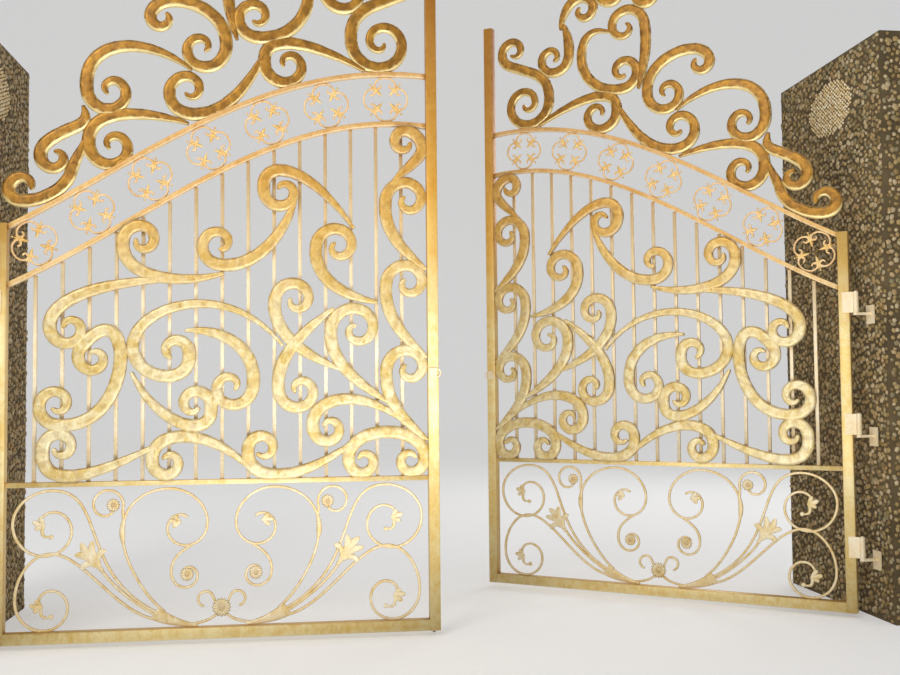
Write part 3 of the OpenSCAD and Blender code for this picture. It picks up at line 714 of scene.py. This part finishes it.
def cast_bud(pile, u, v, length, angle):
    """The large bud: a stem and a cup, a middle lobe and two pairs of blunt side lobes that curl away."""
    scale, at, profile = length / BUD_SIZE, np.array([u, v]), squircle(12, 2.2)
    rows = [(arc([-4, 0], [40, 5], [92, -4]), 14, 0.62, 4.2, 0.45, -0.15)]
    for sgn in (1, -1):
        rows += [(arc([2, 5 * sgn], [46, 17 * sgn], [70, 42 * sgn]), 12.5, 0.64, 4.0, 0.45, 0),
                 (arc([-2, 7 * sgn], [19, 31 * sgn], [12, 56 * sgn]), 11.5, 0.62, 3.8, 0.45, 0.15)]
    rows += [([[-22, 0], [0, 0], [30, 0]], 21, 0.6, 4.4, 0.3, -0.2)]
    leaves(pile, rows, True, profile, 3.5, angle, scale, at, CAST_Y)
    bar(pile, turned([[-38, 0], [-12, 0]], angle, scale, at), 8.5 * scale, 4.2, CAST_Y, profile, spacing=4.0,
        noses=(3, 3))


def cast_leaf(pile, u, v, length, angle, turn):
    """A small leaf at a scroll's end: three lobes, and a tendril with a bead that hooks back."""
    scale, at = length / LEAF_SIZE, np.array([u, v])
    rows = [(arc([-10, 0], [16, 3], [48, -2]), 12.5, 0.6, 4.3, 0.5, -0.1),
            (arc([-2, 4], [12, 16], [28, 28]), 10.5, 0.65, 3.9, 0.5, 0),
            (arc([-2, -4], [12, -16], [28, -28]), 10.5, 0.65, 3.8, 0.5, 0.1)]
    if turn:
        rows += [(arc([-2, 2 * turn], [-14, 40 * turn], [-48, 38 * turn], 15), 8.0, 0.2, 4.1, 0.85, 0.05)]
    leaves(pile, rows, True, squircle(10, 2.2), 3.5, angle, scale, at, CAST_Y)
    if turn:
        bar(pile, turned([[-61, 36 * turn], [-38, 39 * turn]], angle, scale, at), 11 * scale, 4.4, CAST_Y,
            squircle(10, 2.0), spacing=3.0, noses=(11 * scale, 11 * scale))


def castings(side):
    """The flowers, buds and leaves of both halves of the bottom panel as one piece."""
    pile = Pile()
    for u, v, radius in BASE_FLOWERS:
        flower(pile, u, v, radius, PETALS)
        flower(pile, LEAF_W - u, v, radius, PETALS)
    flower(pile, *CENTRE_FLOWER, CENTRE_PETALS)
    u, v, length, angle = BIG_BUD
    cast_bud(pile, u, v, length, angle)
    cast_bud(pile, LEAF_W - u, v, length, 180 - angle)
    for u, v, length, angle, turn in BASE_LEAVES:
        cast_leaf(pile, u, v, length, angle, turn)
        cast_leaf(pile, LEAF_W - u, v, length, 180 - angle, -turn)
    return build(side + "_flowers_and_leaves", pile, side)


cast_pieces = {side: castings(side) for side in BOTH}

# %% [markdown]
# ## Pebble-clad piers
# The piers are masonry set with small river pebbles. A pebble is a closed dome of 18 triangles with five
# sides, and each has its own size, turn and shade. They stand on a staggered grid that is turned and shaken,
# with a plain block of mortar just behind. Real domes give the wall its rough outline, which a bump pattern
# on a flat wall wouldn't.

# %% Fields of pebbles
PEBBLE_PITCH, SMALL_PITCH = 0.0292, 0.0195
PEBBLE_R, SMALL_R = (0.0115, 0.0195), (0.0090, 0.0106)
ROW_STEP = 0.87
MORTAR_IN = 0.010
TOP_GAP = 0.004
RIM_IN = 0.001
SIDES = 5


def pebble_field(rng, across, up, pitch, slant, shake):
    """Centres on a staggered grid with rows 0.87 pitches apart and every other row shifted by half. The grid
    is turned by the slant in degrees, each centre is shaken, and those outside the face are dropped."""
    reach = math.hypot(across, up) / 2
    count = int(reach / (pitch * ROW_STEP)) + 2
    i, j = np.meshgrid(np.arange(-count, count), np.arange(-count, count), indexing="ij")
    s, t = (i + 0.5 * (j % 2)) * pitch, j * pitch * ROW_STEP
    s, t = (x + rng.uniform(-shake, shake, x.shape) * pitch for x in (s, t))
    a = math.radians(slant)
    centres = np.stack([(s * math.cos(a) - t * math.sin(a)).ravel() + across / 2,
                        (s * math.sin(a) + t * math.cos(a)).ravel() + up / 2], 1)
    edge = pitch * 0.3
    return centres[((centres > edge) & (centres < [across - edge, up - edge])).all(1)]


def domes(pile, rng, centres, face, size):
    """Pebbles as domes: a rim just in the mortar, a ring at three quarters of the radius, a pole and a flat
    underside, at origin + s along + t up + h out. Tone is a pebble's shade, edge the level of a point."""
    origin, along, out, across, high = face
    n = len(centres)
    tone = rng.uniform(0, 1, n)
    a = rng.uniform(*size, n)
    b = a * rng.uniform(0.62, 0.98, n)
    h = rng.uniform(0.5, 0.92, n) * MORTAR_IN
    spin = rng.uniform(0, np.pi, n)
    ang = np.arange(SIDES) * 2 * np.pi / SIDES
    rim = np.stack([np.cos(ang), np.sin(ang)], 1)
    shape = np.concatenate([rim, rim * 0.76, [[0, 0]]])
    level = np.repeat([-0.25, 0.74, 1.0], [SIDES, SIDES, 1])
    e = shape * np.stack([a, b], 1)[:, None, :]
    c, s = np.cos(spin)[:, None], np.sin(spin)[:, None]
    ps = np.clip(centres[:, :1] + e[..., 0] * c - e[..., 1] * s, RIM_IN, across - RIM_IN)
    pt = np.clip(centres[:, 1:] + e[..., 0] * s + e[..., 1] * c, RIM_IN, high - RIM_IN)
    ph = level * h[:, None]
    points = origin + ps[..., None] * along + pt[..., None] * [0, 0, 1] + ph[..., None] * out
    j = np.arange(SIDES)
    k = (j + 1) % SIDES
    under = j[1:-1]
    quads = np.stack([j, k, SIDES + k, SIDES + j], 1)
    tris = np.concatenate([np.stack([SIDES + j, SIDES + k, np.full(SIDES, 2 * SIDES)], 1),
                           np.stack([under * 0, under + 1, under], 1)])
    base = (np.arange(n) * len(shape))[:, None, None]
    pile.add(points.reshape(-1, 3), quads + base, tris + base, tone.repeat(len(shape)), np.tile(level, n))


print("pebbles on a square metre:", len(pebble_field(np.random.default_rng(0), 1, 1, PEBBLE_PITCH, 17, 0.34)))

# %% The piers' pebbles and mortar
MEDALLION_Y, MEDALLION_Z = GATE_Y + 0.345, 2.555
MEDALLION_HALF = np.array([0.225, 0.14])
MEDALLION_RIM = 0.012
BOX_FACES = [[0, 1, 5, 4], [1, 2, 6, 5], [2, 3, 7, 6], [3, 0, 4, 7], [4, 5, 6, 7], [3, 2, 1, 0]]


def pier_stones(side, seed):
    """Pebbles on the four upright faces, with a medallion of small pale ones on the face by the gateway."""
    rng = np.random.default_rng(seed)
    lo, hi = (np.array(c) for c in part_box(side + "_pier"))
    high = hi[2]
    (x0, y0), (x1, y1) = lo[:2] + MORTAR_IN, hi[:2] - MORTAR_IN
    corners = ((x0, y0), (x1, y0), (x1, y1), (x0, y1))
    wide, deep = hi[:2] - lo[:2] - 2 * MORTAR_IN
    ways = ((1, 0, wide), (0, 1, deep), (-1, 0, wide), (0, -1, deep))
    pebbles, medal, mortar = Pile(), Pile(), Pile()
    for index, (corner, (x, y, across)) in enumerate(zip(corners, ways)):
        origin, along, out = (np.array(p, float) for p in ((*corner, 0), (x, y, 0), (y, -x, 0)))
        face = origin, along, out, across, high
        centres = pebble_field(rng, across, high - TOP_GAP, PEBBLE_PITCH, 17, 0.34)
        if index == (1 if side == "left" else 3):
            mid = np.array([(MEDALLION_Y - origin[1]) * along[1], MEDALLION_Z])
            centres = centres[np.hypot(*((centres - mid) / (MEDALLION_HALF + MEDALLION_RIM)).T) > 1]
            small = pebble_field(rng, 0.6, 0.5, SMALL_PITCH, 21, 0.1) - [0.3, 0.25]
            small = small[np.hypot(*(small / MEDALLION_HALF).T) < 1] + mid
            domes(medal, rng, small, face, SMALL_R)
        domes(pebbles, rng, centres, face, PEBBLE_R)
    mortar.add(np.array([[*corner, z] for z in (lo[2], high) for corner in corners]), BOX_FACES, [])
    return (build(side + "_pier_pebbles", pebbles), build(side + "_pier_medallion", medal),
            build(side + "_pier_mortar", mortar, smooth=False))


stones = {side: pier_stones(side, seed) for side, seed in zip(BOTH, (21, 22))}

# %% [markdown]
# ## Finishes
# Shader maths reads best as plain sums. One small class wraps a socket, and Python's operators on it add Math
# nodes. Every other node comes from its one node method: the type, its settings, then its sockets.

# %% Socket arithmetic
class Value:
    """A socket in a material: each of Python's operators on it adds a Math node."""

    def __init__(self, tree, socket=None):
        self.tree, self.socket = tree, socket

    def node(self, kind, settings=None, inputs=None, output=0):
        """Adds a node: settings first, then values or links of its sockets; returns one of its outputs."""
        made = self.tree.nodes.new(kind)
        for key, value in (settings or {}).items():
            if key == "stops":
                ramp = made.color_ramp
                while len(ramp.elements) < len(value):
                    ramp.elements.new(1.0)
                for element, (position, colour) in zip(ramp.elements, value):
                    element.position, element.color = position, colour
            else:
                setattr(made, key, value)
        for key, value in (inputs or {}).items():
            if isinstance(value, Value):
                self.tree.links.new(value.socket, made.inputs[key])
            else:
                made.inputs[key].default_value = value
        return Value(self.tree, made.outputs[output])

    def math(self, operation, a, b):
        """One Math node on a and b."""
        return self.node("ShaderNodeMath", {"operation": operation}, {0: a, 1: b})

    def __add__(self, other):
        return self.math("ADD", self, other)

    def __radd__(self, other):
        return self.math("ADD", other, self)

    def __sub__(self, other):
        return self.math("SUBTRACT", self, other)

    def __rsub__(self, other):
        return self.math("SUBTRACT", other, self)

    def __mul__(self, other):
        return self.math("MULTIPLY", self, other)

    def __rmul__(self, other):
        return self.math("MULTIPLY", other, self)

    def __truediv__(self, other):
        return self.math("DIVIDE", self, other)

    def __rtruediv__(self, other):
        return self.math("DIVIDE", other, self)

    def step(self, low, high):
        """0 at low, 1 at high, smooth between them; low may be the larger one."""
        return self.node("ShaderNodeMapRange", {"interpolation_type": "SMOOTHSTEP"},
                         {"Value": self, "From Min": low, "From Max": high})

    def mix(self, a, b):
        """Colour a where this is 0, colour b where it is 1."""
        return self.node("ShaderNodeMix", {"data_type": "RGBA"}, {0: self, 6: a, 7: b}, 2)

    def ramp(self, stops):
        """A colour read from a row of stops, each a place between 0 and 1 with its colour."""
        return self.node("ShaderNodeValToRGB", {"stops": stops}, {0: self})

    def scaled(self, x, y, z):
        """A vector stretched along its axes."""
        return self.node("ShaderNodeVectorMath", {"operation": "MULTIPLY"}, {0: self, 1: (x, y, z)})

    def noise(self, size, detail=3.0, rough=0.5, spread=0.0):
        """Noise whose lumps are about the given size in metres."""
        return self.node("ShaderNodeTexNoise", {"noise_dimensions": "3D"}, {
            "Vector": self, "Scale": 1 / size, "Detail": detail, "Roughness": rough, "Distortion": spread})

    def attribute(self, name):
        """The value that a mesh carries at each point under this name."""
        return self.node("ShaderNodeAttribute", {"attribute_name": name}, output=2)

    def relief(self, strength, depth):
        """A normal that is bent as if this value were a height of up to depth metres."""
        return self.node("ShaderNodeBump", {}, {"Strength": strength, "Distance": depth, "Height": self})


def hue(code):
    """A written colour such as e2be6e to linear light: the standard curve on each channel."""
    c = np.array([int(code[k:k + 2], 16) for k in (0, 2, 4)]) / 255
    return (*np.where(c <= 0.04045, c / 12.92, ((c + 0.055) / 1.055) ** 2.4).tolist(), 1.0)


def new_finish(name):
    """An empty material: its shader node, the Value that makes nodes, and the object's own coordinates."""
    material = bpy.data.materials.new(name)
    material.use_nodes = True
    tree = material.node_tree
    make = Value(tree)
    return material, tree.nodes["Principled BSDF"], make, make.node("ShaderNodeTexCoord", output=3)


def feed(shader, **values):
    """Links or sets sockets of a shader, with spaces written as underscores."""
    for key, value in values.items():
        socket = shader.inputs[key.replace("_", " ")]
        if isinstance(value, Value):
            value.tree.links.new(value.socket, socket)
        else:
            socket.default_value = value


print("gold written as e2be6e is", [round(c, 3) for c in hue("e2be6e")])

# %% [markdown]
# ## Gold paint
# The gate is painted with gold bronze paint, brushed on by hand: pale where it is thick or rubbed, ochre
# where it is thin, with brown specks. Metal flakes give it a sheen between plain paint and metal. Noises of
# several sizes carry this: patches as long as a hand, blotches, brush streaks and fine grain. The hammer
# dents and the edges steer the colour too. The sides of a bar and what faces up are painted deep as shade,
# what faces down gets a pale painted highlight, and the pale chamfers are partly rubbed paint and partly
# painted highlight. From 1.4 m up a painted shade turns the paint deeper and more orange. It is multiplied
# in, so the streaks stay under it, and the painted highlights of the undersides are laid on top. The crest
# has a darker copy of the paint as painted shade; the arches have a paint of their own with less of the
# painted shade up high, and the bars a paler copy as painted light against the scrolls' shade.

# %% Gold finish
# Painted shade up high: from 1.4 m to 2.9 m up the gold is multiplied by deeper and more orange colours.
HEIGHT_SHADE_FROM = 1.4
HEIGHT_SHADE_TO = 2.9
HEIGHT_SHADE_STOPS = [(0.0, (1, 1, 1, 1)), (0.15, (0.94, 0.84, 0.68, 1)), (0.3, (0.88, 0.67, 0.32, 1)),
              (0.45, (0.8, 0.52, 0.13, 1)), (1.0, (0.6, 0.3, 0.03, 1))]
GOLDS = {
    "scroll": dict(codes="f5e8bc dcbc68 9c6e26 5a3c17", rough=0.4, metal=0.3, shade_up_high=0.85, rim=0.75),
    # The crest's colours are a darker copy of the gold as painted shade; its pale edges and undersides are
    # painted highlight.
    "crest": dict(codes="b68226 885a10 573809 3f2508", rough=0.38, metal=0.45, patch=0.09, edges="fae3a0",
                  under=0.9, grooves=0.45, worn=0.6),
    "frame": dict(codes="fbe8ae f0cd78 cc9c4a 8d6a34", rough=0.44, metal=0.25, worn=0.35, shade_up_high=0.95,
                  under=0.8),
    "arch": dict(codes="f6dfb0 dfba78 b08648 7a5a30", rough=0.5, metal=0.2, worn=0.4, shade_up_high=0.65, under=0.8,
                 edges="f6dcae"),
    # The bars' colours are a paler copy of the frame's: painted light against the shade the scrolls cast on
    # them.
    "bar": dict(codes="fdf0d2 f4dcac d0a870 7a5a30", shaped=False, rough=0.5, metal=0.15, worn=0.45,
                shade_up_high=0.45),
    "cast": dict(codes="fcf0cf e8ca84 a8782c 5c3d17", metal=0.2, patch=0.08, grooves=0.65, worn=0.6),
    "light": dict(codes="f9e8c0 e9c984 b07f38 5c3d17", metal=0.25, patch=0.08, worn=0.6),
    "lily": dict(codes="f7d792 e3b35a a8742c 5c3d17", rough=0.4, metal=0.3, patch=0.08, worn=0.5),
    "rosette": dict(codes="f3d3a2 e2b678 b08044 654524", shaped=False, rough=0.46, metal=0.3, patch=0.08,
                    worn=0.5),
}


def gold(name, codes, shaped=True, rough=0.42, metal=0.35, patch=0.16, edges=None, under=0.3, grooves=0.3,
         worn=0.75, shade_up_high=0.0, rim=0.45):
    """Brushed paint of four colours: pale, middle, deep and brown. Patches and streaks choose between the
    golds, and brown specks of dirt lie on top. On shaped pieces the dents turn deep; the sides and what faces
    up turn deep as painted shade, and what faces down turns to the edges' pale as a painted highlight. A
    paint with shade up high is multiplied by a painted shade, the colour of its height."""
    pale, middle, deep, brown = (hue(code) for code in codes.split())
    # The pale for the painted highlight on undersides and for rubbed chamfers.
    rubbed_and_highlight_pale = hue(edges) if edges else pale
    material, shader, make, at = new_finish(name)
    patches = at.noise(patch, 2.0, 0.5, 0.6)
    streaks = at.scaled(1, 1, 0.35).noise(0.018, 4.0, 0.6, 0.4)
    grain = at.noise(0.0016, 2.0, 0.6)
    blotch = at.noise(0.035, 3.0, 0.55, 0.8)
    mottle = at.noise(0.014, 5.0, 0.7, 0.5)
    specks = at.noise(0.005, 4.0, 0.65).step(0.62, 0.70)
    colour = (patches * 0.5 + streaks * 0.3 + blotch * 0.5).step(0.46, 0.84).mix(middle, pale)
    for share, tone in (((blotch * 0.7 + streaks * 0.5).step(0.5, 0.28) * worn, deep),
                        (mottle.step(0.52, 0.74) * worn * 0.6, deep),
                        (mottle.step(0.46, 0.28) * 0.5, pale),
                        (specks * 0.55, brown)):
        colour = share.mix(colour, tone)
    if shaped:
        side, facing = make.attribute("edge"), make.attribute("down")
        hollow = (make.attribute("tone") * 0.8 + blotch * 0.5).step(0.55, 1.15)
        colour = (hollow * grooves).mix(colour, deep)
        # Painted shade on the sides of a bar: they turn deep.
        colour = ((side + blotch * 0.3).step(0.92, 1.1) * rim).mix(colour, deep)
        # Painted shade on what faces up: it turns deep.
        turned_down = facing + (blotch - 0.5) * 0.2
        colour = (turned_down.step(0.44, 0.2) * 0.45).mix(colour, deep)
    up = make.node("ShaderNodeSeparateXYZ", {}, {0: at}, 2)
    splash = (up + (blotch - 0.5) * 0.16).step(0.09, 0.0)
    colour = (splash * 0.12).mix(colour, deep)
    # Painted shade up high: the colour is multiplied by a deeper, more orange colour of its height.
    if shade_up_high:
        painted_shade_colour = ((up + (blotch - 0.5) * 0.3 - HEIGHT_SHADE_FROM) / (HEIGHT_SHADE_TO - HEIGHT_SHADE_FROM)).ramp(HEIGHT_SHADE_STOPS)
        colour = make.node("ShaderNodeMix", {"data_type": "RGBA", "blend_type": "MULTIPLY"},
                           {0: shade_up_high, 6: colour, 7: painted_shade_colour}, 2)
    if shaped:
        # Pale chamfers, partly rubbed paint and partly painted highlight.
        rubbed = side.step(0.45, 0.72) * (1 - side.step(0.80, 0.95)) * blotch.step(0.35, 0.6)
        colour = (rubbed * 0.45).mix(colour, rubbed_and_highlight_pale)
        # Painted highlight: what faces down turns pale, as if lit from the ground.
        colour = (turned_down.step(0.52, 0.65) * under).mix(colour, rubbed_and_highlight_pale)
    height = streaks * 0.5 + grain * 0.12 + at.noise(0.007, 2.0, 0.5) * 0.5
    feed(shader, Base_Color=colour, Metallic=metal, Roughness=(rough - 0.1) + 0.24 * blotch + 0.1 * specks,
         Normal=height.relief(0.5, 0.0012))
    return material


golds = {name: gold(name + "_gold", **row) for name, row in GOLDS.items()}
print(len(golds), "tones of gold:", ", ".join(golds))

# %% [markdown]
# ## Steel, mortar and pebbles
# The drop bolt is bare steel that slides in its keepers, so it is rubbed bright with brown rust in between.
# The pebbles run from olive and brown to grey; each one has its own shade, which its attribute picks from a
# ramp, and the mortar between them is dull and dusty.

# %% Steel, mortar and pebble finishes
PEBBLE_STOPS = ((0.0, "6a5630"), (0.25, "957a45"), (0.45, "b09662"), (0.65, "7d7250"), (0.82, "c9b48c"),
                (1.0, "a07d48"))
PALE_STOPS = ((0.0, "d9b980"), (0.5, "ecd3a2"), (1.0, "fbedca"))


def steel():
    """Rubbed steel with rust: fine lines along the rod, and rust where two noises meet."""
    material, shader, make, at = new_finish("bolt_steel")
    lines = at.scaled(1, 1, 0.05).noise(0.002, 3.0, 0.6)
    rust = (at.noise(0.02, 4.0, 0.65) * 0.7 + lines * 0.3).step(0.5, 0.62)
    rubbed = lines.mix(hue("6d6a66"), hue("a8a39b"))
    colour = rust.mix(rubbed, at.noise(0.006, 3.0).mix(hue("6b3a1c"), hue("8a5a30")))
    feed(shader, Base_Color=colour, Metallic=0.85 - 0.6 * rust, Roughness=0.34 + 0.4 * rust,
         Normal=(lines + rust).relief(0.35, 0.0006))
    return material


def pebble(name, stops):
    """Stone with its own shade for each pebble, small veins, and darker brown low on its sides, by the
    mortar.
    """
    material, shader, make, at = new_finish(name)
    vein = at.noise(0.009, 4.0, 0.6, 1.0)
    shade = make.attribute("tone") + (vein - 0.5) * 0.3
    base = shade.ramp([(place_at, hue(code)) for place_at, code in stops])
    # Darker brown low on each pebble, where it meets the mortar.
    dark_low_band = (make.attribute("edge") + vein * 0.5).step(0.75, 0.1)
    feed(shader, Base_Color=(dark_low_band * 0.75).mix(base, hue("2f2513")), Roughness=0.52 + 0.3 * dark_low_band,
         Normal=vein.relief(0.5, 0.0015))
    return material


def mortar_finish():
    """Dusty mortar: two noises, one for stain and a fine one for sand."""
    material, shader, make, at = new_finish("mortar")
    stain = at.noise(0.25, 4.0, 0.6)
    sand = at.noise(0.0025, 3.0, 0.7)
    colour = (stain * 0.6 + sand * 0.5).step(0.3, 0.8).mix(hue("3c301b"), hue("776544"))
    feed(shader, Base_Color=colour, Roughness=0.85 + 0.1 * sand, Normal=(sand + stain).relief(0.8, 0.002))
    return material


bolt_steel = steel()
stone_finishes = (pebble("pebble_cladding", PEBBLE_STOPS), pebble("pale_pebbles", PALE_STOPS),
                  mortar_finish())
print("finishes:", ", ".join(material.name for material in (bolt_steel, *stone_finishes)))

# %% [markdown]
# ## Who wears what, and what rides on what
# Each new piece takes a finish, rides on its leaf or on the posts, and stands for the CAD node it replaces.
# The CAD nodes whose shape is right, such as the hinges, the lock ring and the bolt, only get a finish.

# %% Dress and hang the pieces
PAINT_OF = {"bars": "bar", "lower_arch": "arch", "upper_arch": "arch"}
KEPT = [f"{side}_{part}" for part in ("pier_hinge_pins", "hinge_plates", "lock_ring") for side in BOTH]
KEPT += ["left_bolt_keepers", "drop_bolt"]


def dress(piece, material, body, node):
    """Gives a piece its finish and its body, and hides the CAD node it stands for."""
    piece.data.materials.clear()
    piece.data.materials.append(material)
    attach(piece, body)
    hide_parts(node)


for side in BOTH:
    rows = [(heavy[side, "main"], "scroll", "scroll_gold", "main_scrolls"),
            (heavy[side, "crest"], "crest", "crest_gold", "crest_scrolls")]
    rows += [(tubes[side, part], PAINT_OF.get(part, "frame"), "frame_gold", part) for part in FRAME_PARTS]
    rows += [(rosette_pieces[side][0], "rosette", "frame_gold", "rosettes"),
             (rosette_pieces[side][1], "lily", "frame_gold", "rosettes"),
             (light[side], "light", "frame_gold", "base_scrolls"),
             (cast_pieces[side], "cast", "frame_gold", "base_castings")]
    for piece, paint, slot, node in rows:
        dress(piece, golds[paint], side + "_leaf", side + "_" + node)
    for piece, material in zip(stones[side], stone_finishes):
        dress(piece, material, "posts", side + "_pier")

for name in KEPT:
    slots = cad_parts[name].data.materials
    slots.clear()
    slots.append(bolt_steel if name == "drop_bolt" else golds["bar"])
print("kept CAD nodes:", ", ".join(KEPT))

# %% [markdown]
# ## Floor and backdrop
# The floor is a plain pale sheet that rises behind the gate in one smooth bend, so that no horizon shows from
# the front. It glows a little for the camera's rays and those of a shine or of glass, so it isn't a lamp.

# %% Floor and backdrop
SHEET_X, SHEET_FRONT, BEND_FROM, BEND_R, SHEET_TOP = 120.0, -25.0, 14, 6, 30.0


def shown(make):
    """1 for what the camera sees by itself, in a shine or through glass, 0 for light that falls on things."""
    camera, glossy, glass = (make.node("ShaderNodeLightPath", output=f"Is {kind} Ray")
                             for kind in ("Camera", "Glossy", "Transmission"))
    return camera + glossy + glass


def backdrop():
    """A sheet 240 m wide: flat floor, then a quarter circle of 6 m radius, then upright."""
    a = np.linspace(0, np.pi / 2, 25)
    y = np.concatenate([[SHEET_FRONT], BEND_FROM + BEND_R * np.sin(a), [BEND_FROM + BEND_R]])
    z = np.concatenate([[0.0], BEND_R - BEND_R * np.cos(a), [SHEET_TOP]])
    points = np.stack([np.tile([-SHEET_X, SHEET_X], len(y)), np.repeat(y, 2), np.repeat(z, 2)], 1)
    i = np.arange(len(y) - 1) * 2
    mesh = bpy.data.meshes.new("backdrop")
    mesh.from_pydata(points.tolist(), [], np.stack([i, i + 1, i + 3, i + 2], 1).tolist())
    mesh.polygons.foreach_set("use_smooth", np.ones(len(i), dtype=bool))
    sheet = bpy.data.objects.new("backdrop", mesh)
    bpy.context.scene.collection.objects.link(sheet)
    material, shader, make, _ = new_finish("pale_floor")
    feed(shader, Base_Color=(0.78, 0.77, 0.755, 1), Roughness=0.9, Emission_Strength=1.0,
         Emission_Color=shown(make).mix((0, 0, 0, 1), (0.28, 0.28, 0.28, 1)))
    mesh.materials.append(material)
    return sheet


print("the backdrop is", round(backdrop().dimensions.x), "m wide")

# %% [markdown]
# ## Light
# The light is a pale sky and three soft lamps: a key lamp high in front on the left, a rim lamp behind on the
# right, and a bounce lamp that shines up from the ground before the gate. The sky is brighter for the rays
# that only show it. The level is such that a colour renders about as it is written.

# %% Sky and lamps
SKY_LIGHT, SKY_SHOWN = 0.46, 0.42
LAMPS = {"key": ((-2.5, -7.5, 6.5), (2.3, 0, 1.4), 3.5, 295),
         "rim": ((7.0, 5.5, 5.0), (2.3, -0.3, 1.8), 3.0, 110),
         "bounce": ((2.2, -2.6, 0.06), (2.2, -2.6, 5), 2.4, 90)}
scene = bpy.context.scene
world = bpy.data.worlds.new("sky")
scene.world = world
world.use_nodes = True
feed(world.node_tree.nodes["Background"], Color=(0.97, 0.98, 1.0, 1),
     Strength=SKY_LIGHT + SKY_SHOWN * shown(Value(world.node_tree)))


def lamp(name, at, target, size, power):
    """A square area lamp that faces a point and isn't seen itself."""
    data = bpy.data.lights.new(name, "AREA")
    data.size, data.energy = size, power
    obj = bpy.data.objects.new(name, data)
    scene.collection.objects.link(obj)
    obj.location = at
    obj.rotation_euler = (Vector(target) - Vector(at)).to_track_quat("-Z", "Y").to_euler()
    obj.visible_camera = False


for name, row in LAMPS.items():
    lamp(name, *row)
    print(name, "lamp of", row[-1], "W")

# %% [markdown]
# ## Camera
# The camera stands where the photograph's did: 1.12 m high, 4.8 m before the closed leaf, looking a little up
# and to the right. Its lens follows from the picture's width over the focal length, both in pixels.

# %% Camera
CAMERA_AT = (1.756, -5.18, 1.12)
TURN, TILT, ROLL = (math.radians(a) for a in (6.9, 2.73, -0.53))
FOCAL_PX, WIDE_PX = 1050.5, 900
SENSOR = 36
ahead = Vector((math.sin(TURN) * math.cos(TILT), math.cos(TURN) * math.cos(TILT), math.sin(TILT)))
right = Vector((math.cos(TURN), -math.sin(TURN), 0))
rotation = Matrix((right, right.cross(ahead), -ahead)).transposed().to_4x4()
camera = bpy.data.objects.new("camera", bpy.data.cameras.new("camera"))
scene.collection.objects.link(camera)
camera.matrix_world = Matrix.Translation(CAMERA_AT) @ rotation @ Matrix.Rotation(ROLL, 4, "Z")
camera.data.sensor_width = SENSOR
camera.data.lens = SENSOR * FOCAL_PX / WIDE_PX
scene.camera = camera
scene.view_settings.view_transform = "Standard"
print("lens", round(camera.data.lens, 2), "mm")
